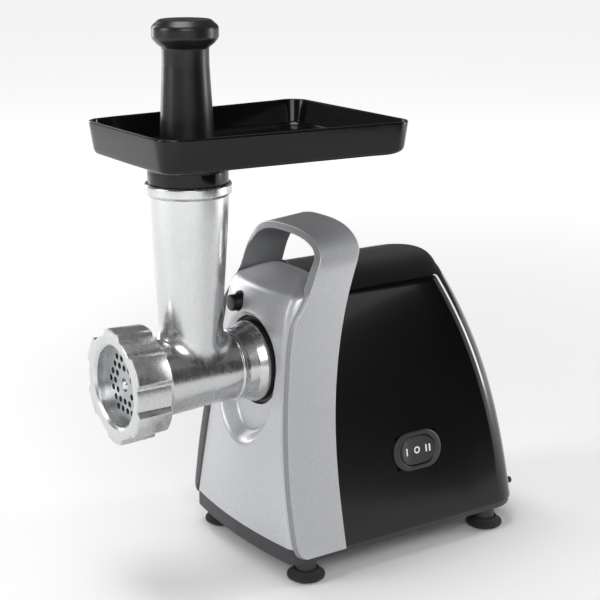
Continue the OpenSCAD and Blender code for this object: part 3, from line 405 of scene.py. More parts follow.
class Board:
    """A shader tree with short calls for adding and wiring nodes."""

    def __init__(self, tree: bpy.types.NodeTree) -> None:
        """Starts on an empty tree."""
        self.tree = tree

    def node(self, kind: str, **settings: object) -> bpy.types.Node:
        """Adds a node and sets its properties.

        Args:
            kind: The node's type.
            **settings: Its properties by name.

        Returns:
            The node.
        """
        node = self.tree.nodes.new(kind)
        for key, value in settings.items():
            setattr(node, key, value)
        return node

    def link(self, source: bpy.types.NodeSocket, target: bpy.types.NodeSocket) -> None:
        """Wires one socket to another."""
        self.tree.links.new(source, target)

    def noise(
        self, place: bpy.types.NodeSocket, scale: float, detail: float = 3, rough: float = 0.5
    ) -> bpy.types.Node:
        """Adds a noise texture at a place.

        Args:
            place: The coordinates it is read at.
            scale: How fine it is.
            detail: How many finer layers it has.
            rough: How strong the finer layers are.

        Returns:
            The texture's node.
        """
        noise = self.node("ShaderNodeTexNoise")
        noise.inputs["Scale"].default_value = scale
        noise.inputs["Detail"].default_value = detail
        noise.inputs["Roughness"].default_value = rough
        self.link(place, noise.inputs["Vector"])
        return noise

    def remap(self, value: bpy.types.NodeSocket, low: float, high: float) -> bpy.types.NodeSocket:
        """Maps a value from 0.3-0.7, where noise mostly lies, to a new range.

        Args:
            value: The socket with the value.
            low: What 0.3 becomes.
            high: What 0.7 becomes.

        Returns:
            The socket with the result.
        """
        node = self.node("ShaderNodeMapRange")
        node.inputs["From Min"].default_value = 0.3
        node.inputs["From Max"].default_value = 0.7
        node.inputs["To Min"].default_value = low
        node.inputs["To Max"].default_value = high
        self.link(value, node.inputs["Value"])
        return node.outputs["Result"]


def grain_group() -> bpy.types.ShaderNodeTree:
    """Returns the shared group that gives a surface its fine grain, its mottling and a bumped normal."""
    name = "surface grain"
    if name in bpy.data.node_groups:
        return bpy.data.node_groups[name]
    tree = bpy.data.node_groups.new(name, "ShaderNodeTree")
    for label, kind, value in (
        ("Vector", "NodeSocketVector", None),
        ("Fine Scale", "NodeSocketFloat", 900.0),
        ("Broad Scale", "NodeSocketFloat", 14.0),
        ("Depth", "NodeSocketFloat", 0.1),
        ("Distance", "NodeSocketFloat", 0.0002),
    ):
        socket = tree.interface.new_socket(name=label, in_out="INPUT", socket_type=kind)
        if value is not None:
            socket.default_value = value
    tree.interface.new_socket(name="Fine", in_out="OUTPUT", socket_type="NodeSocketFloat")
    tree.interface.new_socket(name="Broad", in_out="OUTPUT", socket_type="NodeSocketFloat")
    tree.interface.new_socket(name="Normal", in_out="OUTPUT", socket_type="NodeSocketVector")
    board = Board(tree)
    start = board.node("NodeGroupInput")
    end = board.node("NodeGroupOutput")
    fine = board.noise(start.outputs["Vector"], 900, 2, 0.6)
    broad = board.noise(start.outputs["Vector"], 14, 3, 0.5)
    board.link(start.outputs["Fine Scale"], fine.inputs["Scale"])
    board.link(start.outputs["Broad Scale"], broad.inputs["Scale"])
    bump = board.node("ShaderNodeBump")
    board.link(start.outputs["Depth"], bump.inputs["Strength"])
    board.link(start.outputs["Distance"], bump.inputs["Distance"])
    board.link(fine.outputs["Fac"], bump.inputs["Height"])
    board.link(fine.outputs["Fac"], end.inputs["Fine"])
    board.link(broad.outputs["Fac"], end.inputs["Broad"])
    board.link(bump.outputs["Normal"], end.inputs["Normal"])
    return tree


@dataclass(frozen=True)
class Finish:
    """A surface finish: its colour, gloss and grain."""

    name: str
    colour: Colour
    roughness: float
    metallic: float = 0.0
    coat: float = 0.0
    specular: float = 0.5
    fine_scale: float = 900.0
    broad_scale: float = 14.0
    depth: float = 0.12
    distance: float = 0.0001
    colour_play: float = 0.06
    rough_play: float = 0.04
    flake: float = 0.0

    def start(self) -> tuple[bpy.types.Material, Board, bpy.types.Node, bpy.types.Node]:
        """Makes the material with its shader.

        Returns:
            The material, its board, the shader and the coordinates node.
        """
        look = bpy.data.materials.new(self.name)
        look.use_nodes = True
        board = Board(look.node_tree)
        look.node_tree.nodes.clear()
        out = board.node("ShaderNodeOutputMaterial")
        shader = board.node("ShaderNodeBsdfPrincipled")
        board.link(shader.outputs["BSDF"], out.inputs["Surface"])
        shader.inputs["Metallic"].default_value = self.metallic
        shader.inputs["Specular IOR Level"].default_value = self.specular
        shader.inputs["Coat Weight"].default_value = self.coat
        shader.inputs["Coat Roughness"].default_value = 0.04
        look.diffuse_color = (*self.colour, 1)
        return look, board, shader, board.node("ShaderNodeTexCoord")

    def paint(self, board: Board, fac: bpy.types.NodeSocket, target: bpy.types.NodeSocket) -> None:
        """Wires a colour that varies a little about the finish's own.

        Args:
            board: The material's board.
            fac: Where between darkest and lightest the colour is.
            target: The socket that takes it.
        """
        mix = board.node("ShaderNodeMix", data_type="RGBA")
        board.link(fac, mix.inputs["Factor"])
        mix.inputs[6].default_value = (*[c * (1 - self.colour_play) for c in self.colour], 1)
        mix.inputs[7].default_value = (*[min(1, c * (1 + self.colour_play)) for c in self.colour], 1)
        board.link(mix.outputs[2], target)

    def material(self) -> bpy.types.Material:
        """Builds the material."""
        look, board, shader, place = self.start()
        grain = board.node("ShaderNodeGroup", node_tree=grain_group())
        board.link(place.outputs["Object"], grain.inputs["Vector"])
        for label, value in (
            ("Fine Scale", self.fine_scale),
            ("Broad Scale", self.broad_scale),
            ("Depth", self.depth),
            ("Distance", self.distance),
        ):
            grain.inputs[label].default_value = value
        source = grain.outputs["Fine"] if self.flake else grain.outputs["Broad"]
        self.paint(board, board.remap(source, 0, 1), shader.inputs["Base Color"])
        low, high = self.roughness - self.rough_play, self.roughness + self.rough_play
        board.link(board.remap(grain.outputs["Broad"], low, high), shader.inputs["Roughness"])
        board.link(grain.outputs["Normal"], shader.inputs["Normal"])
        return look


@dataclass(frozen=True)
class PolishedCasting(Finish):
    """Cast alloy polished by hand: soft waves under a bright, slightly streaked surface."""

    wave_scale: float = 38.0
    wave_depth: float = 0.35
    streak: tuple[float, float, float] = (60.0, 60.0, 14.0)

    def material(self) -> bpy.types.Material:
        """Builds the material."""
        look, board, shader, place = self.start()
        turn = board.node("ShaderNodeMapping")
        turn.inputs["Scale"].default_value = self.streak
        board.link(place.outputs["Object"], turn.inputs["Vector"])
        streaks = board.noise(turn.outputs["Vector"], 6, 5, 0.6)
        waves = board.noise(place.outputs["Object"], self.wave_scale, 2, 0.4)
        pits = board.noise(place.outputs["Object"], self.fine_scale, 2, 0.6)
        self.paint(board, board.remap(streaks.outputs["Fac"], 0, 1), shader.inputs["Base Color"])
        low, high = self.roughness - self.rough_play, self.roughness + self.rough_play
        board.link(board.remap(streaks.outputs["Fac"], low, high), shader.inputs["Roughness"])
        broad = board.node("ShaderNodeBump")
        broad.inputs["Strength"].default_value = self.wave_depth
        broad.inputs["Distance"].default_value = 0.0015
        board.link(waves.outputs["Fac"], broad.inputs["Height"])
        fine = board.node("ShaderNodeBump")
        fine.inputs["Strength"].default_value = self.depth
        fine.inputs["Distance"].default_value = self.distance
        board.link(pits.outputs["Fac"], fine.inputs["Height"])
        board.link(broad.outputs["Normal"], fine.inputs["Normal"])
        board.link(fine.outputs["Normal"], shader.inputs["Normal"])
        return look


@dataclass(frozen=True)
class TurnedMetal(Finish):
    """Metal faced on a lathe, with fine rings about the feed screw's axis."""

    axis_height: float = 0.129
    ring_scale: float = 260.0

    def material(self) -> bpy.types.Material:
        """Builds the material."""
        look, board, shader, place = self.start()
        split = board.node("ShaderNodeSeparateXYZ")
        board.link(place.outputs["Object"], split.inputs["Vector"])
        lift = board.node("ShaderNodeMath", operation="SUBTRACT")
        lift.inputs[1].default_value = self.axis_height
        board.link(split.outputs["Z"], lift.inputs[0])
        flat = board.node("ShaderNodeCombineXYZ")
        board.link(split.outputs["X"], flat.inputs["X"])
        board.link(lift.outputs["Value"], flat.inputs["Y"])
        away = board.node("ShaderNodeVectorMath", operation="LENGTH")
        board.link(flat.outputs["Vector"], away.inputs[0])
        radius = board.node("ShaderNodeCombineXYZ")
        board.link(away.outputs["Value"], radius.inputs["X"])
        rings = board.noise(radius.outputs["Vector"], self.ring_scale * 10, 2, 0.7)
        self.paint(board, board.remap(rings.outputs["Fac"], 0, 1), shader.inputs["Base Color"])
        low, high = self.roughness - self.rough_play, self.roughness + self.rough_play
        board.link(board.remap(rings.outputs["Fac"], low, high), shader.inputs["Roughness"])
        bump = board.node("ShaderNodeBump")
        bump.inputs["Strength"].default_value = self.depth
        bump.inputs["Distance"].default_value = self.distance
        board.link(rings.outputs["Fac"], bump.inputs["Height"])
        board.link(bump.outputs["Normal"], shader.inputs["Normal"])
        return look


class Look(Enum):
    """The machine's finishes."""

    SILVER = Finish(
        "silver paint", (0.56, 0.565, 0.58), 0.36, metallic=0.5, coat=0.1, fine_scale=1500,
        depth=0.16, distance=0.00004, colour_play=0.12, rough_play=0.03, flake=1.0,
    )
    # The silver paint again at half its brightness: painted shade on the handle band's front edge.
    SILVER_PAINTED_SHADE = Finish(
        "silver paint painted shade", (0.27, 0.275, 0.285), 0.42, metallic=0.45, fine_scale=1500,
        depth=0.2, distance=0.00005, colour_play=0.12, flake=1.0,
    )
    GLOSS_BLACK = Finish(
        "gloss black", (0.0035, 0.0033, 0.0035), 0.10, coat=0.25, fine_scale=260, broad_scale=9,
        depth=0.012, distance=0.00004, colour_play=0.15, rough_play=0.015, specular=0.35,
    )
    TRAY_BLACK = Finish(
        "tray black", (0.0045, 0.0045, 0.0045), 0.13, coat=0.05, fine_scale=420, broad_scale=20,
        depth=0.02, distance=0.00004, colour_play=0.15, rough_play=0.03, specular=0.25,
    )
    SATIN_BLACK = Finish(
        "satin black", (0.008, 0.008, 0.0085), 0.32, fine_scale=1400, broad_scale=30,
        depth=0.18, distance=0.00006, colour_play=0.2, rough_play=0.05, specular=0.4,
    )
    DARK_PLASTIC = Finish(
        "dark plastic", (0.035, 0.036, 0.04), 0.5, fine_scale=1600, depth=0.3, distance=0.00008,
        colour_play=0.1, rough_play=0.05,
    )
    SWITCH_GREY = Finish(
        "switch grey", (0.028, 0.028, 0.03), 0.42, fine_scale=1800, depth=0.25, distance=0.00005,
        colour_play=0.1, rough_play=0.04,
    )
    RUBBER = Finish(
        "rubber", (0.011, 0.011, 0.011), 0.62, fine_scale=1100, broad_scale=60, depth=0.35,
        distance=0.0001, colour_play=0.25, rough_play=0.08, specular=0.35,
    )
    CASTING = PolishedCasting(
        "polished casting", (0.60, 0.605, 0.61), 0.25, metallic=0.93, fine_scale=700, depth=0.05,
        distance=0.00003, colour_play=0.04, rough_play=0.05,
    )
    NUT_METAL = PolishedCasting(
        "satin casting", (0.60, 0.605, 0.61), 0.28, metallic=0.92, fine_scale=900, depth=0.05,
        distance=0.00003, colour_play=0.04, rough_play=0.04, wave_depth=0.18,
    )
    PLATE_STEEL = TurnedMetal(
        "faced steel", (0.42, 0.43, 0.44), 0.34, metallic=1.0, depth=0.2, distance=0.00004,
        colour_play=0.14, rough_play=0.08,
    )
    BRIGHT_STEEL = Finish(
        "bright steel", (0.66, 0.67, 0.69), 0.2, metallic=1.0, fine_scale=800, depth=0.08,
        distance=0.00004, colour_play=0.06, rough_play=0.06,
    )
    ZINC = Finish(
        "zinc plate", (0.60, 0.61, 0.64), 0.3, metallic=1.0, fine_scale=900, depth=0.12,
        distance=0.00004, colour_play=0.12, rough_play=0.08,
    )
    BRONZE = Finish(
        "sintered bronze", (0.42, 0.25, 0.10), 0.42, metallic=1.0, fine_scale=1500, depth=0.4,
        distance=0.0001, colour_play=0.2, rough_play=0.08,
    )
    GEAR_PLASTIC = Finish(
        "gear plastic", (0.72, 0.71, 0.66), 0.42, fine_scale=900, depth=0.1, colour_play=0.05,
    )
    CASE_PLASTIC = Finish(
        "case plastic", (0.10, 0.105, 0.115), 0.52, fine_scale=1200, depth=0.35, distance=0.0001,
        colour_play=0.12, rough_play=0.06,
    )
    LAMINATIONS = Finish(
        "laminations", (0.15, 0.155, 0.17), 0.48, metallic=0.9, fine_scale=1400, depth=0.3,
        distance=0.0001, colour_play=0.25, rough_play=0.1,
    )
    COPPER = Finish(
        "enamelled copper", (0.48, 0.17, 0.07), 0.3, metallic=0.8, fine_scale=1300, depth=0.5,
        distance=0.0002, colour_play=0.25, rough_play=0.08, coat=0.4,
    )
    CARBON = Finish(
        "carbon", (0.018, 0.018, 0.019), 0.55, fine_scale=1500, depth=0.3, colour_play=0.2,
    )
    IVORY = Finish("ivory plastic", (0.62, 0.57, 0.42), 0.4, fine_scale=900, depth=0.1)
    MARKS = Finish("white marks", (0.82, 0.82, 0.80), 0.5, fine_scale=900, depth=0.05)

    @property
    def look(self) -> bpy.types.Material:
        """The finish's material, made when it is first asked for."""
        finish: Finish = self.value
        return bpy.data.materials.get(finish.name) or finish.material()


# ---------------------------------------------------------------- housing


@dataclass
class Housing:
    """The two shells and the head's socket, and the sizes that the base and the handle band follow."""

    base_z: float = 14.0
    base_half_w: float = 63.0
    top_half_w: float = 38.5
    side_power: float = 1.7
    crease_z: float = 176.0
    crown_h: float = 9.4
    crown_power: float = 0.3
    rear_y: float = 96.0
    rear_lean: float = 46.3
    front_y: float = 88.5
    front_lean: float = 14.0
    brow_z: float = 160.0
    brow_h: float = 22.0
    brow_depth: float = 10.0
    front_top_y: float = -51.0
    rear_top_y: float = 49.0
    wall: float = 2.5
    rear_corner_r: float = 20.0
    front_corner_r: float = 8.0
    front_crown: float = 4.0
    rear_crown: float = 4.3
    rear_foot_z: float = 18.5
    front_foot_z: float = 24.0
    axis_z: float = 129.0
    seat_floor: float = 78.0
    dish_r: float = 33.0
    opening_r: float = 28.4
    lock_at: Pair = (-14.8, 163.5)
    crease_r: float = 2.2
    rear_power: float = 2.4
    seam_foot_y: float = -68.0
    seam_lean: float = 19.0
    seam_rise: float = 163.0
    tongue_stretch: float = 0.58
    tongue_start: float = 26.0
    tongue_run: float = 34.0
    tongue_depth: float = 9.5
    dish_slope: float = 1.9
    dish_margin: float = 4.0
    dish_soft: float = 3.0

    @property
    def taper_z(self) -> float:
        """Height at which the sides stop curving in."""
        return self.crease_z + 4

    def side_w(self, z: float) -> float:
        """Returns half the width at a height."""
        reach = max(0.0, 1 - (z - self.base_z) / (self.taper_z - self.base_z))
        return self.top_half_w + (self.base_half_w - self.top_half_w) * reach**self.side_power

    def rise(self, z: float) -> float:
        """Returns how far up the walls a height is, from 0 to 1."""
        return max(0.0, (z - self.base_z) / (self.crease_z - self.base_z))

    def rear_at(self, z: float) -> float:
        """Returns where the rear face is at a height, at its corners."""
        return self.rear_y - self.rear_lean * self.rise(z) ** self.rear_power

    def front_at(self, z: float) -> float:
        """Returns where the front face is at a height, at its corners.

        Args:
            z: The height.

        Returns:
            The place along Y, leaning back with height and turned in at the brow.
        """
        over = max(0.0, (z - self.brow_z) / self.brow_h)
        brow = self.brow_depth * (1 - sqrt(1 - over**2))
        return -self.front_y + self.front_lean * self.rise(z) ** 2 + brow

    def seam_at(self, z: float) -> float:
        """Returns where the two shells meet at a height."""
        return self.seam_foot_y + (z - self.base_z) * self.seam_lean / self.seam_rise

    def plan(self, w: float, seam: float, end: float, r: float, crown: float) -> list[Pair]:
        """Returns a U in plan from one side of the seam round an end and back to the other.

        Args:
            w: Half the width.
            seam: Where the two shells meet along Y.
            end: Where the end is along Y, at its corners.
            r: The corners' radius.
            crown: How far the end bulges out in its middle.

        Returns:
            The U's points.
        """
        s = 1 if end > seam else -1
        q = max(0.2, min(r, 0.6 * w, 0.8 * abs(end - seam)))
        cx, cy = w - q, end - s * q
        right = [(w, seam + (cy - seam) * k / 6) for k in range(6)]
        right += [(cx + q * cos(radians(a)), cy + s * q * sin(radians(a))) for a in range(0, 90, 6)]
        across = [
            (cx * (1 - k / 24), end + s * crown * (1 - (1 - k / 24) ** 2)) for k in range(49)
        ]
        return right + across + [(-x, y) for x, y in reversed(right)]

    def level(self, z: float, a: float, front: bool, t: float, foot: float) -> Row:
        """Returns one level of a skin.

        Args:
            z: The height, used below the crease.
            a: How far over the crown it is, from 0 to 1 of the crown's rise.
            front: Whether it is the front cover's.
            t: How far it is inset.
            foot: The skin's lowest height.

        Returns:
            The level's points.
        """
        if a > 0:
            z = self.crease_z + self.crown_h * a
        low = min(z, self.crease_z)
        end = self.front_at(low) if front else self.rear_at(low)
        top = self.front_top_y if front else self.rear_top_y
        end = top + (end - top) * (1 - a) ** (0.9 if front else 0.5)
        s = -1 if front else 1
        top_z = self.crease_z + self.crown_h
        lowered = foot + (z - foot) * (1 - t / (top_z - foot))
        points = self.plan(
            max(0.4, self.side_w(low) * (1 - a) ** self.crown_power - t),
            self.seam_at(lowered),
            end - s * t,
            (self.front_corner_r if front else self.rear_corner_r) - t,
            (self.front_crown if front else self.rear_crown) * (1 - a) ** 0.5,
        )
        row = [Vector((x, y, lowered)) for x, y in points]
        return [self.dish(p, t) for p in row] if front else row

    def dish(self, p: Vector, t: float) -> Vector:
        """Presses the seat of the grinding head, drawn out below into a tongue, into a point.

        Args:
            p: A point of the front cover's skin.
            t: How far that skin is inset.

        Returns:
            The point, moved back where the seat is.
        """
        x, down = abs(p.x), self.axis_z - p.z
        stretch = 1.0 if down < 0 else 1.0 + self.tongue_stretch * min(1.0, down / 20) ** 1.2
        d = hypot(x, down / stretch) - self.dish_r
        ramp = min(1.0, max(0.0, (down - self.tongue_start) / self.tongue_run))
        floor = -self.seat_floor - self.tongue_depth * ramp * ramp + t
        pressed = floor - self.dish_slope * max(0.0, d + self.dish_margin)
        return Vector((p.x, soft_max(p.y, pressed, self.dish_soft), p.z))

    def skin(self, front: bool, t: float) -> list[Row]:
        """Returns all the levels of a skin, with the edge between side and crown rounded.

        Args:
            front: Whether it is the front cover's.
            t: How far it is inset.

        Returns:
            The levels from the foot up.
        """
        foot = self.front_foot_z if front else self.rear_foot_z
        steps = 120 if front else 72
        heights = span(foot, self.crease_z - self.crease_r, steps)
        walls = [self.level(z, 0, front, t, foot) for z in heights]
        edge = self.level(self.crease_z, 0, front, t, foot)
        first = 0.12
        crown = [
            self.level(0, 1 - (1 - first) * cos(radians(90 * k / 26)) ** 3.4, front, t, foot)
            for k in range(26)
        ]
        turn = [
            [blend_points(a, b, c, k / 7) for a, b, c in zip(walls[-1], edge, crown[0])]
            for k in range(1, 7)
        ]
        return walls + turn + crown

    def shell(self, name: str, front: bool, look: bpy.types.Material) -> bpy.types.Object:
        """Makes a shell from its outer and inner skin.

        Args:
            name: The object's name.
            front: Whether it is the front cover.
            look: Its material.

        Returns:
            The shell.
        """
        form = Form()
        outer = form.grid(self.skin(front, 0))
        inner = form.grid(self.skin(front, self.wall))
        for j in range(len(outer[0]) - 1):
            form.add([outer[0][j], outer[0][j + 1], inner[0][j + 1], inner[0][j]])
        for k in range(len(outer) - 1):
            for j in (0, -1):
                form.add([outer[k][j], outer[k + 1][j], inner[k + 1][j], inner[k][j]])
        form.add([outer[-1][0], inner[-1][0], inner[-1][-1], outer[-1][-1]])
        form.add(outer[-1])
        form.add(inner[-1])
        return form.build(name, look, sharp=40)

    def front_cover(self) -> None:
        """Makes the silver front cover with the seat's opening and the lock's collar."""
        cover = self.shell("front_cover_skin", True, Look.SILVER.look)
        x, z = self.lock_at
        holes = [
            rod(Vector((0, -120, self.axis_z)), Vector((0, -60, self.axis_z)), self.opening_r, 128),
            rod(Vector((x, -120, z)), Vector((x, -60, z)), 6.0),
        ]
        cut(cover, holes)
        settle(cover, "housing", "silver_plastic", "front_cover")
        front = self.front_at(z)
        collar = turned(
            "lock_collar",
            [(5.5, 74, 0), (6.9, 74, 0), (6.9, -front + 2.4, 0.6), (5.6, -front + 2.4, 0.3)],
            Axis.SCREW, Vector((x, 0, z)), Look.SATIN_BLACK.look, hollow=True, sides=64,
        )
        settle(collar, "housing", "satin_black")

    def socket(self) -> None:
        """Makes the black socket, whose rim lies below the seat's face round the head's collar."""
        low, high = cad_box("head_socket")
        front, back = -low.y, -high.y
        ring = turned(
            "head_socket_ring",
            [
                (23.6, back, 0), (28, back, 0), (28, self.seat_floor - 1.6, 0.5),
                (25.7, self.seat_floor - 1.0, 0.4), (25.3, front, 0.4), (23.6, front, 0.3),
            ],
            Axis.SCREW, Vector((0, 0, self.axis_z)), Look.SATIN_BLACK.look, hollow=True, sides=128,
        )
        settle(ring, "housing", "satin_black", "head_socket")

    def rear_housing(self, openings: list[bpy.types.Object]) -> None:
        """Makes the black rear housing with openings cut through it.

        Args:
            openings: The cutters of its openings, which are used up.
        """
        shell = self.shell("rear_housing_skin", False, Look.GLOSS_BLACK.look)
        cut(shell, openings)
        settle(shell, "housing", "gloss_black", "rear_housing")


@dataclass
class HandleBand:
    """The silver band: two legs on the housing's sides and the free arch over the top."""

    housing: Housing
    leg_t: float = 2.4
    arch_t: float = 4.5
    top_z: float = 215.5
    arch_h: float = 25.5
    power: float = 2.7
    tilt: float = 3.0
    gap: float = 0.1
    edge_r: float = 0.6
    bevel: float = 3.2
    rear_y: float = -50.8
    rear_lean: float = 16.0
    rear_foot: float = 40.0
    rear_rise: float = 133.0
    rear_stop: float = 202.0
    rear_power: float = 2.4

    FRONT: tuple[Pair, ...] = (
        (18.5, -80), (21, -83.6), (26, -85.6), (32, -86.2), (60, -86.2), (82, -84.9),
        (100, -83.3), (129, -79.7), (147, -77), (158, -74.4), (165, -70.8), (172, -65.3),
        (180, -62), (190, -58.3), (205, -53.4), (260, -51.5),
    )

    def rear(self, z: float) -> float:
        """Returns the band's rear edge at a height."""
        share = max(0.0, min(z, self.rear_stop) - self.rear_foot) / self.rear_rise
        return self.rear_y + self.rear_lean * share**self.rear_power

    def section(self, outer: Pair, inner: Pair, z_y: float, drop: float) -> Row:
        """Returns one rounded cross-section.

        Args:
            outer: The outer surface's X and Z.
            inner: The inner surface's X and Z.
            z_y: The height that the band's edges are taken at.
            drop: How much lower its front edge is.

        Returns:
            The cross-section's points.
        """
        front, rear = smooth_table(self.FRONT, z_y), self.rear(z_y)
        thick = hypot(outer[0] - inner[0], outer[1] - inner[1])
        r = min(self.edge_r, 0.45 * thick)
        lip = front - self.bevel * min(1.0, max(0.35, (self.top_z - z_y) / 20))
        outline = rounded(
            [(front, 0, r), (rear, 0, r), (rear, thick, r), (lip, thick, r)], closed=True, steps=4
        )
        row = []
        for y, depth in outline:
            u = depth / thick
            v = min(1.0, max(0.0, (y - front) / (rear - front)))
            row.append(Vector((
                outer[0] + (inner[0] - outer[0]) * u,
                y,
                outer[1] + (inner[1] - outer[1]) * u - drop * (1 - v),
            )))
        return row

    def half(self) -> list[Row]:
        """Returns the sections of one leg and half the arch, from the bottom up."""
        rows: list[Row] = []
        crease, taper = self.housing.crease_z, self.housing.taper_z
        foot = self.top_z - self.arch_h
        heights = [18.5, 19.2, 20.0, 21.0, 22.0, 23.5, 25.0, 27.0, 29.0]
        heights += span(31, crease, 56) + span(crease + 0.5, foot, 16)
        for z in heights:
            x = self.housing.side_w(z) + self.gap
            grow = min(1.0, max(0.0, (z - crease) / (taper - crease)))
            inner = x + (self.leg_t - self.arch_t) * grow
            rows.append(self.section((x + self.leg_t, z), (inner, z), z, 0))
        w = self.housing.side_w(taper) + self.gap + self.leg_t
        for k in range(1, 41):
            a = radians(90 * k / 40)
            c, s = abs(cos(a)) ** (2 / self.power), sin(a) ** (2 / self.power)
            c = 0.0 if k == 40 else c
            z = foot + self.arch_h * s
            inner = ((w - self.arch_t) * c, foot + (self.arch_h - self.arch_t) * s)
            rows.append(self.section((w * c, z), inner, z, self.tilt * s))
        return rows

    def build(self) -> None:
        """Makes the band."""
        half = self.half()
        other = [[Vector((-p.x, p.y, p.z)) for p in row] for row in half[:-1]]
        form = Form()
        rows = half + other[::-1]
        count = len(rows[0])
        # The last six columns, along the band's front edge, take the darker silver: painted shade on the same
        # paint.
        index = form.grid(rows, ring=True, slot_of=lambda j: 1 if j >= count - 6 else 0)
        form.add(index[0])
        form.add(index[-1])
        band = form.build("handle_band_skin", Look.SILVER.look, Look.SILVER_PAINTED_SHADE.look, sharp=40)
        settle(band, "housing", "silver_plastic", "handle_band")


@dataclass
class Feet:
    """The four rubber feet."""

    r: float = 11.9
    stem_r: float = 6.5

    def build(self) -> None:
        """Makes each foot as a turned rubber disc round its stem."""
        for node in ("foot_front_right", "foot_front_left", "foot_rear_right", "foot_rear_left"):
            low, high = cad_box(node)
            centre = Vector(((low.x + high.x) / 2, (low.y + high.y) / 2, 0))
            foot = turned(
                node + "_rubber",
                [
                    (3.6, 0, 0.3), (10.2, 0, 0.4), (self.r, 1.2, 0.8), (self.r, 2.9, 1.0),
                    (self.stem_r + 3.0, 4.6, 1.6), (self.stem_r + 1.7, 6.3, 0.5),
                    (self.stem_r + 0.1, 6.3, 0.3), (self.stem_r + 0.1, 3.05, 0), (3.6, 3.05, 0),
                ],
                Axis.UPRIGHT, centre, Look.RUBBER.look, hollow=True, sides=72,
            )
            settle(foot, "housing", "rubber", node)


# ---------------------------------------------------------------- switch and rear fittings


@dataclass
class Switch:
    """The rocker switch on the right side."""

    housing: Housing
    z: float = 66.0
    y: float = 12.5
    length: float = 27.0
    height: float = 18.6
    margin: float = 5.4
    round_r: float = 1.4
    pivot_in: float = 4.0

    def to_side(self) -> Matrix:
        """Returns the place of the side wall's frame: X out of the wall, Y along it."""
        w = self.housing.side_w
        tilt = atan((w(self.z - 1) - w(self.z + 1)) / 2)
        return Matrix.Translation((w(self.z), self.y, self.z)) @ Matrix.Rotation(-tilt, 4, "Y")

    def pill(self, length: float, height: float, x: float, sides: int = 96) -> Row:
        """Returns a ring with round ends at a distance out of the wall.

        Args:
            length: Its length along Y.
            height: Its height.
            x: How far out of the wall it is.
            sides: How many points it has.

        Returns:
            The ring's points.
        """
        half, r = (length - height) / 2, height / 2
        row = []
        for k in range(sides):
            a = 2 * pi * k / sides
            shift = half if cos(a) >= 0 else -half
            row.append(Vector((x, shift + r * cos(a), r * sin(a))))
        return row

    def well(self, grow: float, x: float) -> Row:
        """Returns a ring of the rocker's own outline, grown, at a distance out of the wall."""
        return self.pill(self.length + 2 * grow, self.height + 2 * grow, x)

    def put(self, form: Form, name: str, *looks: bpy.types.Material) -> bpy.types.Object:
        """Moves a form from the side wall's frame to its place and builds it.

        Args:
            form: The form.
            name: The object's name.
            *looks: Its materials.

        Returns:
            The object.
        """
        place = self.to_side()
        form.points = [place @ p for p in form.points]
        return form.build(name, *looks)

    def bezel(self) -> None:
        """Makes the oval bezel round the rocker's well."""
        length, height = self.length + 2 * self.margin, self.height + self.margin + 1
        form = Form()
        rows = [self.pill(length, height, 0.15), self.pill(length, height, 0.8)]
        for a in (20, 40, 60, 80):
            inset = 2 * self.round_r * (1 - cos(radians(a)))
            rows.append(self.pill(length - inset, height - inset, 0.8 + self.round_r * sin(radians(a))))
        rows += [self.well(1.1, 2.15), self.well(0.5, 1.7), self.well(0.45, 1.3)]
        rows += [self.well(0.45, -2.2), self.well(1.2, -2.2), self.well(1.2, 0.15)]
        form.grid(rows, ring=True, loop=True)
        piece = self.put(form, "switch_bezel_ring", Look.SWITCH_GREY.look)
        settle(piece, "housing", "switch_grey", "switch_bezel")

    def rocker(self) -> None:
        """Makes the curved rocker with its axle and its marks."""
        form = Form()
        rows: list[Row] = [self.pill(self.length - 5.0, self.height - 2.0, -6.4)]
        for inset, lift in ((0.6, -3.2), (0.1, -1.2), (0.05, -0.5), (0.25, -0.15), (0.7, 0.0)):
            ring = self.pill(self.length - 2 * inset, self.height - 2 * inset, 0)
            if lift < -1:
                rows.append([Vector((lift, p.y, p.z)) for p in ring])
            else:
                rows.append([Vector((self.face_at(p.y) + lift, p.y, p.z)) for p in ring])
        rim = rows[-1]
        for share in (0.85, 0.7, 0.5, 0.3, 0.12):
            rows.append([Vector((self.face_at(p.y * share), p.y * share, p.z * share)) for p in rim])
        index = form.grid(rows, ring=True)
        form.add(index[0])
        form.add(index[-1])
        piece = self.put(form, "switch_rocker_cap", Look.SWITCH_GREY.look)
        axle = rod(
            self.to_side() @ Vector((-self.pivot_in, 0, -self.height / 2 - 1.9)),
            self.to_side() @ Vector((-self.pivot_in, 0, self.height / 2 + 1.9)), 1.5, 32,
        )
        merged(piece, [axle])
        settle(piece, "rocker", "switch_grey", "switch_rocker")
        self.marks()

    def marks(self) -> None:
        """Makes the plain position marks on the rocker's face: a bar, a ring and a pair of bars."""
        half = self.length / 2
        bar = [(-0.55, -2.4), (0.55, -2.4), (0.55, 2.4), (-0.55, 2.4)]
        ring = [(2.3 * cos(2 * pi * k / 40), 2.3 * sin(2 * pi * k / 40)) for k in range(40)]
        core = [(1.35 * cos(2 * pi * k / 40), 1.35 * sin(2 * pi * k / 40)) for k in range(40)]
        pair = [[(y + shift, z) for y, z in bar] for shift in (-1.25, 1.25)]
        for label, middle, outlines in (
            ("bar", -0.62 * half, [bar]), ("ring", 0.0, [ring, core]), ("pair", 0.62 * half, pair)
        ):
            form = Form()
            for outline in outlines:
                rows = [
                    [Vector((self.face_at(middle + y) + x, middle + y, z)) for y, z in outline]
                    for x in (-0.25, 0.07)
                ]
                index = form.grid(rows, ring=True)
                if label != "ring":
                    form.add(index[0])
                    form.add(index[1])
            if label == "ring":
                inner, outer = len(ring) * 2, 0
                for level in (0, len(ring)):
                    for k in range(len(ring)):
                        n = (k + 1) % len(ring)
                        form.add([outer + level + k, outer + level + n, inner + level + n, inner + level + k])
            mark = self.put(form, "rocker_mark_" + label, Look.MARKS.look)
            settle(mark, "rocker", "switch_grey")

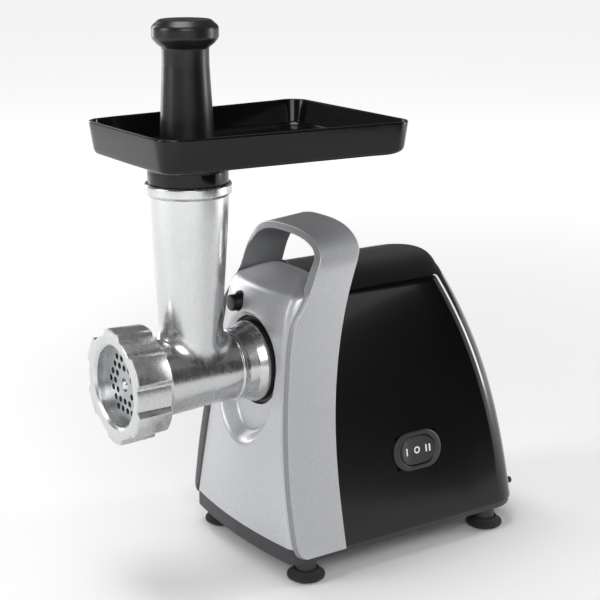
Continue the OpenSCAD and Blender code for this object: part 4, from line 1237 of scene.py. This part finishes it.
    def face_at(self, y: float) -> float:
        """Returns how far out the rocker's face stands at a place along it."""
        half = self.length / 2
        return smooth_table(((0, 0.6), (0.55 * half, 1.0), (0.97 * half, 2.3)), abs(y))

    def opening(self) -> bpy.types.Object:
        """Returns the cutter of the opening behind the bezel."""
        form = Form()
        ring = [(-1, -1), (1, -1), (1, 1), (-1, 1)]
        rows = [
            [Vector((x, a * (self.length / 2 + 2.8), b * (self.height / 2 + 1.6))) for a, b in ring]
            for x in (-9, 7)
        ]
        index = form.grid(rows, ring=True)
        form.add(index[0])
        form.add(index[1])
        return self.put(form, "cutter")


@dataclass
class RearFittings:
    """The cord inlet, the overload button and the air slots in the rear face."""

    housing: Housing
    inlet_r: float = 3.4
    inlet: Pair = (-25.0, 38.0)
    reset: Pair = (44.0, 23.0)
    reset_r: float = 2.2
    bulge: float = 1.4

    def openings(self) -> list[bpy.types.Object]:
        """Returns the cutters of the rear face's openings."""
        back = self.housing.rear_y + 10
        tools = [
            rod(Vector((x, front, z)), Vector((x, back, z)), radius)
            for (x, z), front, radius in (
                (self.inlet, 80, 6.0), (self.inlet, self.inlet_y() + 1.85, 8.2), (self.reset, 80, 2.6)
            )
        ]
        for k in range(5):
            tools.append(block(Vector((k * 8 - 8, 84, 46)), Vector((k * 8 - 5, 114, 68))))
        return tools

    def inlet_y(self) -> float:
        """Returns where the rear face is at the cord inlet."""
        return self.housing.rear_at(self.inlet[1]) + self.bulge

    def build(self) -> None:
        """Makes the grommet and the button."""
        x, z = self.inlet
        y = self.inlet_y()
        r = self.inlet_r
        grommet = turned(
            "cord_grommet_ring",
            [
                (r, -(y - 4.4), 0.4), (r + 4.2, -(y - 4.4), 0.5), (r + 4.2, -(y - 2.2), 0.4),
                (r + 2.5, -(y - 2.2), 0), (r + 2.5, -(y + 1.9), 0), (r + 4.6, -(y + 1.9), 0.4),
                (r + 4.4, -(y + 4.0), 0.9), (r, -(y + 4.0), 0.9),
            ],
            Axis.SCREW, Vector((x, 0, z)), Look.RUBBER.look, hollow=True, sides=64,
        )
        settle(grommet, "housing", "rubber", "cord_grommet")
        _, high = cad_box("reset_button")
        x, z = self.reset
        tip = -high.y
        button = turned(
            "reset_button_cap",
            [
                (0, tip, 0), (self.reset_r, tip, 0.6), (self.reset_r, tip + 9.7, 0),
                (self.reset_r + 1.2, tip + 9.7, 0.2), (self.reset_r + 1.2, tip + 11.5, 0.2),
                (0, tip + 11.5, 0),
            ],
            Axis.SCREW, Vector((x, 0, z)), Look.SATIN_BLACK.look, sides=48,
        )
        settle(button, "reset", "satin_black", "reset_button")


@dataclass
class LockButton:
    """The button that frees the grinding head."""

    at: Pair = (-14.8, 163.5)
    r: float = 5.2

    def build(self) -> None:
        """Makes the button with its retaining flange and guide pin."""
        low, high = cad_box("lock_button")
        tip, back = -low.y, -high.y
        button = turned(
            "lock_button_cap",
            [
                (0, back, 0), (2.4, back, 0.2), (2.4, 68.8, 0), (self.r + 1.2, 68.8, 0.2),
                (self.r + 1.2, 70.6, 0.2), (self.r, 70.6, 0), (self.r, tip - 0.6, 1.1), (0, tip, 0),
            ],
            Axis.SCREW, Vector((self.at[0], 0, self.at[1])), Look.SATIN_BLACK.look, sides=64,
        )
        settle(button, "lock", "satin_black", "lock_button")


# ---------------------------------------------------------------- grinding head


@dataclass
class GrindingHead:
    """The cast barrel with its upright neck."""

    axis_z: float = 129.0
    neck_y: float = -121.9
    seat: float = 80.5
    barrel_out_r: float = 21.6
    barrel_r: float = 18.6
    bell_r: float = 30.0
    bell_rear: float = 152.2
    bell_front: float = 166.7
    neck_top_z: float = 246.6
    neck_foot_r: float = 16.4
    neck_top_r: float = 19.6
    fillet_r: float = 7.0

    @property
    def centre(self) -> Vector:
        """A point on the feed screw's axis."""
        return Vector((0, 0, self.axis_z))

    def barrel(self) -> bpy.types.Object:
        """Makes the turned outside of the barrel as a solid."""
        r = self.barrel_out_r
        corners = [
            (0, 66, 0), (23.5, 66, 0.6), (23.5, self.seat, 0), (25.4, self.seat, 0.5),
            (25.4, self.seat + 1.9, 1.2), (r + 1.7, self.seat + 6.5, 3), (r + 0.2, self.seat + 12.5, 3),
            (r + 0.1, self.seat + 14.6, 0.3), (r + 0.8, self.seat + 15.2, 0.5),
            (r + 0.8, self.seat + 16.6, 0.5), (r, self.seat + 17.4, 0.4), (r + 0.3, 118, 20),
            (r + 2.2, 147, 6), (r + 3.2, 150.4, 1.4), (self.bell_r - 1.2, self.bell_rear, 0.8),
            (self.bell_r, self.bell_rear + 1.2, 0.5), (self.bell_r, self.bell_front, 0.3),
            (0, self.bell_front, 0),
        ]
        look = Look.CASTING.look
        return turned("grinder_head_casting", corners, Axis.SCREW, self.centre, look, sides=144)

    def neck_out(self, z: float) -> float:
        """Returns the neck's outer radius at a height."""
        return smooth_table(((129, 18.9), (158, 19.3), (200, 21.7), (228.6, 23.6), (240, 24.1)), z)

    def neck(self) -> bpy.types.Object:
        """Makes the turned outside of the neck as a solid."""
        top = self.neck_top_z
        corners = [(0.0, 129.0, 0.0)]
        corners += [(self.neck_out(z), z, 0.0) for z in span(129, top - 7.4, 24)]
        corners += [
            (25.9, top - 5.6, 0.8), (25.9, top - 0.9, 1.0), (25.0, top, 0.5), (0, top, 0),
        ]
        return turned(
            "neck", corners, Axis.UPRIGHT, Vector((0, self.neck_y, 0)), Look.CASTING.look, sides=144
        )

    def bores(self) -> list[bpy.types.Object]:
        """Returns the cutters of the barrel's and the neck's insides."""
        look = Look.CASTING.look
        barrel = turned(
            "bore",
            [
                (0, 60, 0), (16, 60, 0), (16, 86, 0), (7.06, 86, 0), (7.06, 93, 0), (self.barrel_r, 93, 0),
                (self.barrel_r, 154.9, 0), (25, 154.9, 0), (25, 162.7, 0), (27.1, 162.7, 0),
                (27.1, 180, 0), (0, 180, 0),
            ],
            Axis.SCREW, self.centre, look, sides=144,
        )
        top = self.neck_top_z
        neck = turned(
            "bore",
            [
                (0, 129, 0), (self.neck_foot_r, 129, 0), (self.neck_foot_r, 147.6, 0),
                (self.neck_top_r, top - 14.6, 0), (20.6, top - 14.6, 0), (20.6, top - 1, 0),
                (22.2, top + 2, 0), (0, top + 2, 0),
            ],
            Axis.UPRIGHT, Vector((0, self.neck_y, 0)), look, sides=144,
        )
        return [barrel, neck]

    def fillet(self) -> bpy.types.Object:
        """Makes the soft weld where the neck grows out of the barrel."""
        rows: list[Row] = []
        steps = 12
        for k in range(144):
            a = 2 * pi * k / 144
            out = Vector((cos(a), sin(a), 0))
            z = self.axis_z + self.barrel_out_r
            for _ in range(8):
                rn = self.neck_out(z)
                under = self.barrel_at(self.neck_y + rn * sin(a))
                z = self.axis_z + sqrt(max(0.0, under**2 - (rn * cos(a)) ** 2))
            foot = Vector((0, self.neck_y, 0)) + out * rn + Vector((0, 0, z))
            around = Vector((foot.x, 0, foot.z - self.axis_z)).normalized()
            along = (out - around * out.dot(around)).normalized()
            reach = self.fillet_r * (0.85 + 0.15 * abs(sin(a)))
            # The far end stays on the barrel: it is found by going round it, and along it
            flat = foot + along * reach
            angle = atan2(flat.x, flat.z - self.axis_z)
            r = self.barrel_at(flat.y) - 0.02
            end = Vector((r * sin(angle), flat.y, self.axis_z + r * cos(angle)))
            top_z = foot.z + reach * 1.5
            rn = self.neck_out(top_z) - 0.02
            top = Vector((rn * cos(a), self.neck_y + rn * sin(a), top_z))
            row = [blend_points(end, foot, top, i / steps) for i in range(steps + 1)]
            inside = foot - out * 1.5 - around * 1.5
            rows.append(row + [inside])
        form = Form()
        form.grid(rows, ring=True, loop=True)
        return form.build("weld", Look.CASTING.look, sharp=60)

    def barrel_at(self, y: float) -> float:
        """Returns the barrel's outer radius beside the neck at a place along Y."""
        forward = min(max(-y, 98.0), 147.0)
        return self.barrel_out_r + smooth_table(((98, 0), (118, 0.3), (147, 2.2)), forward)

    def build(self) -> None:
        """Makes the casting."""
        head = self.barrel()
        cut(head, [self.neck()], "UNION")
        cut(head, self.bores())
        merged(head, [self.fillet()])
        settle(head, "head", "cast_alloy", "grinder_head")


@dataclass
class RingNut:
    """The ring nut with its six grips."""

    axis_z: float = 129.0
    front: float = 175.7
    rear: float = 152.7
    open_r: float = 24.5
    thread_r: float = 30.06
    lip: float = 8.0
    valley_r: float = 31.9
    lug_r: float = 35.0
    lugs: int = 6

    def grip(self, a: float) -> float:
        """Returns how much of a grip stands at an angle, from 0 to 1.

        Args:
            a: The angle round the nut, in radians.

        Returns:
            0 in a valley and 1 on a grip, with a smooth flank between.
        """
        pitch = 2 * pi / self.lugs
        off = abs((a - pi / 2 + pitch / 2) % pitch - pitch / 2)
        t = min(1.0, max(0.0, (0.315 - off) / 0.085))
        return t * t * (3 - 2 * t)

    def build(self) -> None:
        """Makes the nut as rings whose radius rises over each grip."""
        outside = rounded(
            [
                (0.0, self.rear, 0), (1.0, self.rear, 0.6), (1.0, self.front - 3.2, 0.6),
                (1.0, self.front, 1.3), (0.0, self.front, 0),
            ],
            steps=6,
        )
        rows: list[Row] = []
        sides = 240
        for share, forward in outside:
            row = []
            near = min(1.0, (forward - self.rear) / 3.0)
            for k in range(sides):
                a = 2 * pi * k / sides
                full = self.valley_r + (self.lug_r - self.valley_r) * self.grip(a) * (0.7 + 0.3 * near)
                inner = 30.4 if forward < 165 else 29.6
                r = inner + (full - inner) * share
                row.append(Vector((r * cos(a), -forward, self.axis_z + r * sin(a))))
            rows.append(row)
        inner_profile = rounded(
            [
                (29.6, self.front, 0), (self.open_r + 1.6, self.front - 0.5, 0.5),
                (self.open_r, self.front - 1.8, 0.6),
                (self.open_r, self.front - self.lip, 0), (self.thread_r, self.front - self.lip, 0),
                (self.thread_r, self.rear + 0.6, 0.4), (30.4, self.rear, 0),
            ],
            steps=5,
        )
        rows += turned_rows(inner_profile[1:-1], Axis.SCREW, Vector((0, 0, self.axis_z)), sides)
        form = Form()
        form.grid(rows, ring=True, loop=True)
        nut = form.build("ring_nut_casting", Look.NUT_METAL.look, sharp=40)
        settle(nut, "nut", "cast_alloy", "ring_nut")


class Perforation:
    """A Geometry Nodes tree that bores rings of holes, laid out as a hexagonal lattice, through a disc."""

    def __init__(self, rings: Sequence[int]) -> None:
        """Builds the tree for the lattice rings that have holes.

        Args:
            rings: The rings' numbers, counted from the middle.
        """
        self.tree = bpy.data.node_groups.new("perforation", "GeometryNodeTree")
        face = self.tree.interface
        face.new_socket(name="Geometry", in_out="OUTPUT", socket_type="NodeSocketGeometry")
        kinds = dict.fromkeys(
            ("Disc Radius", "Disc Thickness", "Hole Radius", "Pitch", "Centre Radius"), "NodeSocketFloat"
        )
        kinds["Material"] = "NodeSocketMaterial"
        self.sockets = {
            label: face.new_socket(name=label, in_out="INPUT", socket_type=kind)
            for label, kind in kinds.items()
        }
        self.board = Board(self.tree)
        start = self.board.node("NodeGroupInput")
        end = self.board.node("NodeGroupOutput")
        disc = self.cylinder(start, "Disc Radius", 160, 1.0)
        hole = self.cylinder(start, "Hole Radius", 28, 2.0)
        centre = self.cylinder(start, "Centre Radius", 48, 2.0)
        tools = self.board.node("GeometryNodeJoinGeometry")
        self.board.link(centre, tools.inputs["Geometry"])
        for ring in rings:
            self.board.link(self.ring(start, ring, hole), tools.inputs["Geometry"])
        bored = self.board.node("GeometryNodeMeshBoolean", operation="DIFFERENCE", solver="EXACT")
        self.board.link(disc, bored.inputs["Mesh 1"])
        self.board.link(tools.outputs["Geometry"], bored.inputs["Mesh 2"])
        whole = self.board.node("GeometryNodeRealizeInstances")
        self.board.link(bored.outputs["Mesh"], whole.inputs["Geometry"])
        dress = self.board.node("GeometryNodeSetMaterial")
        self.board.link(whole.outputs["Geometry"], dress.inputs["Geometry"])
        self.board.link(start.outputs["Material"], dress.inputs["Material"])
        self.board.link(dress.outputs["Geometry"], end.inputs["Geometry"])

    def cylinder(
        self, start: bpy.types.Node, radius: str, sides: int, length: float
    ) -> bpy.types.NodeSocket:
        """Adds a cylinder whose radius is a named input and whose length is a multiple of the disc's.

        Args:
            start: The node with the inputs.
            radius: The radius input's name.
            sides: How many sides it has.
            length: Its length over the disc's thickness.

        Returns:
            The socket with the cylinder.
        """
        node = self.board.node("GeometryNodeMeshCylinder")
        node.inputs["Vertices"].default_value = sides
        self.board.link(start.outputs[radius], node.inputs["Radius"])
        deep = self.board.node("ShaderNodeMath", operation="MULTIPLY")
        deep.inputs[1].default_value = length
        self.board.link(start.outputs["Disc Thickness"], deep.inputs[0])
        self.board.link(deep.outputs["Value"], node.inputs["Depth"])
        return node.outputs["Mesh"]

    def ring(self, start: bpy.types.Node, number: int, hole: bpy.types.NodeSocket) -> bpy.types.NodeSocket:
        """Adds one lattice ring: points spaced evenly along a hexagon, with a hole at each.

        Args:
            start: The node with the inputs.
            number: The ring's number, counted from the middle.
            hole: The socket with the hole's cutter.

        Returns:
            The socket with the ring's cutters.
        """
        hexagon = self.board.node("GeometryNodeMeshCircle")
        hexagon.inputs["Vertices"].default_value = 6
        grow = self.board.node("ShaderNodeMath", operation="MULTIPLY")
        grow.inputs[1].default_value = float(number)
        self.board.link(start.outputs["Pitch"], grow.inputs[0])
        self.board.link(grow.outputs["Value"], hexagon.inputs["Radius"])
        curve = self.board.node("GeometryNodeMeshToCurve")
        self.board.link(hexagon.outputs["Mesh"], curve.inputs["Mesh"])
        even = self.board.node("GeometryNodeResampleCurve")
        even.inputs["Count"].default_value = 6 * number
        self.board.link(curve.outputs["Curve"], even.inputs["Curve"])
        spread = self.board.node("GeometryNodeInstanceOnPoints")
        self.board.link(even.outputs["Curve"], spread.inputs["Points"])
        self.board.link(hole, spread.inputs["Instance"])
        whole = self.board.node("GeometryNodeRealizeInstances")
        self.board.link(spread.outputs["Instances"], whole.inputs["Geometry"])
        return whole.outputs["Geometry"]

    def bake(self, name: str, values: dict[str, object], place: Matrix) -> bpy.types.Object:
        """Runs the tree with named inputs and returns the result as a plain object.

        Args:
            name: The object's name.
            values: The inputs by name.
            place: Where the disc goes, in metres.

        Returns:
            The object.
        """
        carrier = bpy.data.objects.new("carrier", bpy.data.meshes.new("carrier"))
        bpy.context.scene.collection.objects.link(carrier)
        step = carrier.modifiers.new("perforation", "NODES")
        step.node_group = self.tree
        for label, value in values.items():
            step[self.sockets[label].identifier] = value
        bpy.context.view_layer.update()
        graph = bpy.context.evaluated_depsgraph_get()
        mesh = bpy.data.meshes.new_from_object(carrier.evaluated_get(graph))
        bpy.data.objects.remove(carrier)
        mesh.transform(place)
        mesh.name = name
        smooth(mesh, 30)
        obj = bpy.data.objects.new(name, mesh)
        bpy.context.scene.collection.objects.link(obj)
        return obj


@dataclass
class CuttingSet:
    """The hole plate and the pin it shares with the knife behind it."""

    axis_z: float = 129.0
    hole_r: float = 1.95
    pitch: float = 6.0
    centre_r: float = 4.06

    def build(self) -> None:
        """Makes the plate and the pin."""
        low, high = cad_box("hole_plate")
        thick = high.y - low.y
        place = Matrix.Translation(Vector((0, (low.y + high.y) / 2, self.axis_z)) * MM)
        place = place @ Matrix.Rotation(pi / 2, 4, "X")
        values = {
            "Disc Radius": 27 * MM,
            "Disc Thickness": thick * MM,
            "Hole Radius": self.hole_r * MM,
            "Pitch": self.pitch * MM,
            "Centre Radius": self.centre_r * MM,
            "Material": Look.PLATE_STEEL.look,
        }
        plate = Perforation((2, 3)).bake("hole_plate_disc", values, place)
        settle(plate, "plate", "steel", "hole_plate")
        low, high = cad_box("screw_pin")
        pin = turned(
            "screw_pin_bright",
            [
                (0, -high.y, 0), (4, -high.y, 0.3), (4, -low.y - 1.6, 0.5), (3.0, -low.y - 1.2, 0.8),
                (2.2, -low.y, 1.6), (0, -low.y, 0),
            ],
            Axis.SCREW, Vector((0, 0, self.axis_z)), Look.BRIGHT_STEEL.look, sides=48,
        )
        settle(pin, "output", "steel", "screw_pin")


# ---------------------------------------------------------------- tray and pusher


@dataclass
class Tray:
    """The trapezoid tray with its funnel floor and spigot."""

    neck_y: float = -121.9
    neck_top_z: float = 246.6
    rim_z: float = 280.6
    front_w: float = 51.7
    rear_w: float = 63.7
    ahead: float = 42.7
    behind: float = 119.2
    wall_h: float = 17.0
    t: float = 2.2
    corner_r: float = 12.0
    collar_r: float = 24.0
    collar_top: float = 255.6
    spigot_r: float = 20.4
    throat_r: float = 18.4

    def outline(self, inset: float) -> list[Pair]:
        """Returns the tray's plan with round corners, inset.

        Args:
            inset: How far it is inset.

        Returns:
            The plan's points.
        """
        r = max(self.corner_r - inset, 4.0)
        fw, rw = self.front_w - inset, self.rear_w - inset
        fy, ry = self.neck_y - self.ahead + inset, self.neck_y + self.behind - inset
        slope = atan((self.rear_w - self.front_w) / (self.ahead + self.behind))
        right: list[Pair] = [(fw * k / 8 - r * k / 8, fy) for k in range(8)]
        for k in range(13):
            a = -pi / 2 + (pi / 2 - slope) * k / 12
            right.append((fw - r + r * cos(a), fy + r + r * sin(a)))
        right += [(fw + (rw - fw) * k / 16, fy + (ry - fy) * k / 16) for k in range(2, 15)]
        for k in range(13):
            a = -slope + (pi / 2 + slope) * k / 12
            right.append((rw - r + r * cos(a), ry - r + r * sin(a)))
        right += [((rw - r) * (1 - k / 8), ry) for k in range(1, 9)]
        return right + [(-x, y) for x, y in reversed(right[1:-1])]

    def circle(self, r: float) -> list[Pair]:
        """Returns a circle round the neck with one point towards each point of the outline.

        Args:
            r: The circle's radius.

        Returns:
            The circle's points.
        """
        ring = []
        for x, y in self.outline(0):
            d = hypot(x, y - self.neck_y)
            ring.append((x * r / d, self.neck_y + (y - self.neck_y) * r / d))
        return ring

    def mixed(self, a: list[Pair], b: list[Pair], t: float) -> list[Pair]:
        """Returns a ring part of the way from one to another."""
        return [(p[0] + (q[0] - p[0]) * t, p[1] + (q[1] - p[1]) * t) for p, q in zip(a, b)]

    def build(self) -> None:
        """Makes the dish, its collar and its spigot."""
        floor = self.rim_z - self.wall_h
        rings: list[Ring] = []

        def corner(a: Ring, b: Ring, c: Ring) -> None:
            """Adds a rounded step from ring a to ring c past ring b."""
            for k in range(7):
                t = k / 6
                ab = self.mixed(a[0], b[0], t)
                bc = self.mixed(b[0], c[0], t)
                z = a[1] * (1 - t) ** 2 + 2 * b[1] * t * (1 - t) + c[1] * t**2
                rings.append((self.mixed(ab, bc, t), z))

        r, t = self.throat_r, self.t
        rings.append((self.circle(r - 1), self.collar_top - 3))
        rings.append((self.circle(self.collar_r - 1), self.collar_top - 3))
        rings.append((self.circle(self.collar_r + 1), self.collar_top))
        foot = (self.outline(2.5), floor - t)
        under = self.mixed(self.circle(self.collar_r + 1), foot[0], 0.93)
        under_z = self.collar_top + (floor - t - self.collar_top) * 0.93
        rim = self.rim_z
        corner((under, under_z), foot, (self.outline(2.0), floor + 2.0))
        corner((self.outline(0.15), rim - 1.2), (self.outline(0), rim), (self.outline(0.9), rim))
        corner((self.outline(t - 0.7), rim), (self.outline(t), rim), (self.outline(t + 0.15), rim - 1.0))
        base = (self.outline(2.5 + t), floor)
        collar = (self.circle(self.collar_r), self.collar_top + 2.4)
        near = (self.mixed(base[0], collar[0], 0.08), floor - 0.45)
        far = (self.mixed(base[0], collar[0], 0.9), collar[1] + 0.5)
        corner((self.outline(1.9 + t), floor + 3.4), base, near)
        corner(far, collar, (self.circle(self.collar_r - 3), self.collar_top + 1.4))
        rings.append((self.circle(r - 1), self.collar_top + 1))
        form = Form()
        form.grid([[Vector((x, y, z)) for x, y in ring] for ring, z in rings], ring=True, loop=True)
        dish = form.build("hopper_tray_dish", Look.TRAY_BLACK.look, sharp=40)
        centre = Vector((0, self.neck_y, 0))
        top = self.neck_top_z
        spigot = turned(
            "spigot",
            [
                (0, top - 13.6, 0), (self.spigot_r, top - 13.6, 0.6), (self.spigot_r, top + 0.1, 0),
                (self.collar_r, top + 0.1, 0.4), (self.collar_r, top + 8, 0), (0, top + 8, 0),
            ],
            Axis.UPRIGHT, centre, Look.TRAY_BLACK.look, sides=128,
        )
        cut(dish, [spigot], "UNION")
        cut(dish, [rod(Vector((0, self.neck_y, top - 20)), Vector((0, self.neck_y, top + 60)), r, 128)])
        settle(dish, "tray", "gloss_black", "hopper_tray")


@dataclass
class Pusher:
    """The food pusher with its round knob."""

    neck_y: float = -121.9
    foot_z: float = 149.2
    foot_r: float = 15.2
    max_r: float = 17.4
    waist_r: float = 13.7
    knob_r: float = 19.4
    knob_h: float = 26.0

    def build(self) -> None:
        """Makes the pusher."""
        _, high = cad_box("food_pusher")
        top = high.z
        corners = [
            (0, self.foot_z, 0), (self.foot_r, self.foot_z, 1.2), (self.max_r, 244.6, 6),
            (self.max_r - 0.1, 250, 6), (self.waist_r, top - self.knob_h, 14), (self.waist_r, top - 16, 2.2),
            (self.knob_r - 2.6, top - 13.6, 3.2), (self.knob_r, top - 10.4, 3.2), (self.knob_r, top - 4, 3.6),
            (self.knob_r - 4.6, top, 2.6), (self.knob_r - 9, top - 0.3, 4), (0, top - 1.2, 0),
        ]
        pusher = turned(
            "food_pusher_body", corners, Axis.UPRIGHT, Vector((0, self.neck_y, 0)),
            Look.SATIN_BLACK.look, sides=128, steps=8,
        )
        settle(pusher, "pusher", "satin_black", "food_pusher")


# ---------------------------------------------------------------- works and studio


@dataclass
class Works:
    """The parts inside and the CAD parts that keep their own shape."""

    slots: dict[str, Look]

    def dress(self) -> None:
        """Gives every CAD part that still shows its finish."""
        for entry in frame["record"]["subparts"]:
            obj = frame["nodes"][entry["node"]]
            look = self.slots.get(entry["material_slot"])
            if look is None:
                LOG.warning("no finish for %s", entry["material_slot"])
                continue
            obj.data.materials.clear()
            obj.data.materials.append(look.look)
        LOG.info("dressed %d CAD parts", len(frame["nodes"]))


@dataclass
class Softbox:
    """One soft light."""

    name: str
    place: tuple[float, float, float]
    aim: tuple[float, float, float]
    size: Pair
    power: float


@dataclass
class Studio:
    """The floor, the lights and the camera."""

    place: tuple[float, float, float] = (0.72630, -0.52165, 0.40228)
    aim: tuple[float, float, float] = (0.06214, -0.08409, 0.18292)
    lens: float = 85.53

    def floor(self) -> None:
        """Lays the pale floor, which grows brighter away from the machine."""
        form = Form()
        form.points = [Vector((x, y, -0.4)) for x, y in ((-9e3, -9e3), (9e3, -9e3), (9e3, 9e3), (-9e3, 9e3))]
        form.add([0, 1, 2, 3])
        finish = Finish("pale floor", (0.90, 0.90, 0.90), 0.7, specular=0.1, colour_play=0.01, depth=0.02)
        look, board, shader, place = finish.start()
        shader.inputs["Base Color"].default_value = (*finish.colour, 1)
        shader.inputs["Roughness"].default_value = finish.roughness
        away = board.node("ShaderNodeVectorMath", operation="LENGTH")
        board.link(place.outputs["Object"], away.inputs[0])
        ramp = board.node("ShaderNodeMapRange", interpolation_type="SMOOTHSTEP")
        ramp.inputs["From Min"].default_value = 0.2
        ramp.inputs["From Max"].default_value = 1.6
        board.link(away.outputs["Value"], ramp.inputs["Value"])
        board.link(ramp.outputs["Result"], shader.inputs["Emission Color"])
        shader.inputs["Emission Strength"].default_value = 0.75
        form.build("studio_floor", look)

    def light(self, box: Softbox) -> None:
        """Hangs one soft light.

        Args:
            box: The light's place, aim, size and power.
        """
        data = bpy.data.lights.new(box.name, "AREA")
        data.shape = "RECTANGLE"
        data.size, data.size_y = box.size
        data.energy = box.power
        obj = bpy.data.objects.new(box.name, data)
        obj.location = box.place
        obj.rotation_euler = (Vector(box.aim) - Vector(box.place)).to_track_quat("-Z", "Y").to_euler()
        obj.visible_camera = False
        bpy.context.scene.collection.objects.link(obj)

    def flag(self) -> None:
        """Stands a black card beside the machine that only its reflections show."""
        form = Form()
        corners = ((560, 640, 0), (1150, 60, 0), (1150, 60, 620), (560, 640, 620))
        form.points = [Vector(corner) for corner in corners]
        form.add([0, 1, 2, 3])
        finish = Finish("flag black", (0.002, 0.002, 0.002), 0.9, specular=0.0)
        card = form.build("studio_flag", finish.material())
        card.visible_camera = False
        card.visible_diffuse = False
        card.visible_shadow = False
        card.visible_transmission = False

    def sky(self) -> None:
        """Sets an even pale surround, dimmer on the machine than behind it."""
        world = bpy.data.worlds.new("surround")
        world.use_nodes = True
        board = Board(world.node_tree)
        world.node_tree.nodes.clear()
        out = board.node("ShaderNodeOutputWorld")
        seen = board.node("ShaderNodeBackground")
        seen.inputs["Color"].default_value = (1, 1, 1, 1)
        lit = board.node("ShaderNodeBackground")
        lit.inputs["Color"].default_value = (0.97, 0.98, 1, 1)
        lit.inputs["Strength"].default_value = 0.16
        path = board.node("ShaderNodeLightPath")
        mix = board.node("ShaderNodeMixShader")
        board.link(path.outputs["Is Camera Ray"], mix.inputs["Fac"])
        board.link(lit.outputs["Background"], mix.inputs[1])
        board.link(seen.outputs["Background"], mix.inputs[2])
        board.link(mix.outputs["Shader"], out.inputs["Surface"])
        bpy.context.scene.world = world

    def camera(self) -> None:
        """Sets up the camera."""
        data = bpy.data.cameras.new("camera")
        data.lens = self.lens
        data.sensor_width = 36
        data.clip_start = 0.01
        obj = bpy.data.objects.new("camera", data)
        obj.location = self.place
        obj.rotation_euler = (Vector(self.aim) - Vector(self.place)).to_track_quat("-Z", "Y").to_euler()
        bpy.context.scene.collection.objects.link(obj)
        bpy.context.scene.camera = obj

    def build(self) -> None:
        """Sets up the whole studio."""
        self.camera()
        self.floor()
        self.flag()
        self.sky()
        middle = (0.0, -0.04, 0.15)
        for box in (
            Softbox("key", (-0.35, -1.35, 0.75), middle, (0.5, 0.9), 8),
            Softbox("camera_side", (1.35, -0.75, 1.0), middle, (0.9, 0.9), 13),
            Softbox("strip", (0.42, 1.25, 0.30), (0.05, 0.05, 0.12), (0.22, 1.1), 9),
            Softbox("overhead", (-0.1, -0.2, 1.4), middle, (0.6, 0.6), 9),
            Softbox("left", (-1.2, -0.3, 0.5), middle, (0.35, 0.8), 4),
        ):
            self.light(box)
        settings = bpy.context.scene.view_settings
        settings.view_transform = "Standard"
        settings.look = "None"


def main() -> None:
    """Builds the machine's looks and the studio."""
    logging.basicConfig(level=logging.INFO, format="%(name)s %(message)s", force=True)
    Studio().build()
    housing = Housing()
    switch = Switch(housing)
    rear = RearFittings(housing)
    housing.front_cover()
    housing.socket()
    housing.rear_housing([switch.opening(), *rear.openings()])
    HandleBand(housing).build()
    Feet().build()
    switch.bezel()
    switch.rocker()
    rear.build()
    LockButton().build()
    GrindingHead().build()
    RingNut().build()
    CuttingSet().build()
    Tray().build()
    Pusher().build()
    Works({
        "silver_plastic": Look.SILVER,
        "gloss_black": Look.GLOSS_BLACK,
        "satin_black": Look.SATIN_BLACK,
        "dark_plastic": Look.DARK_PLASTIC,
        "switch_grey": Look.SWITCH_GREY,
        "rubber": Look.RUBBER,
        "cast_alloy": Look.CASTING,
        "steel": Look.BRIGHT_STEEL,
        "zinc_steel": Look.ZINC,
        "bronze": Look.BRONZE,
        "gear_plastic": Look.GEAR_PLASTIC,
        "case_plastic": Look.CASE_PLASTIC,
        "laminations": Look.LAMINATIONS,
        "copper": Look.COPPER,
        "carbon": Look.CARBON,
        "ivory_plastic": Look.IVORY,
    }).dress()


if __name__ == "__main__":
    main()
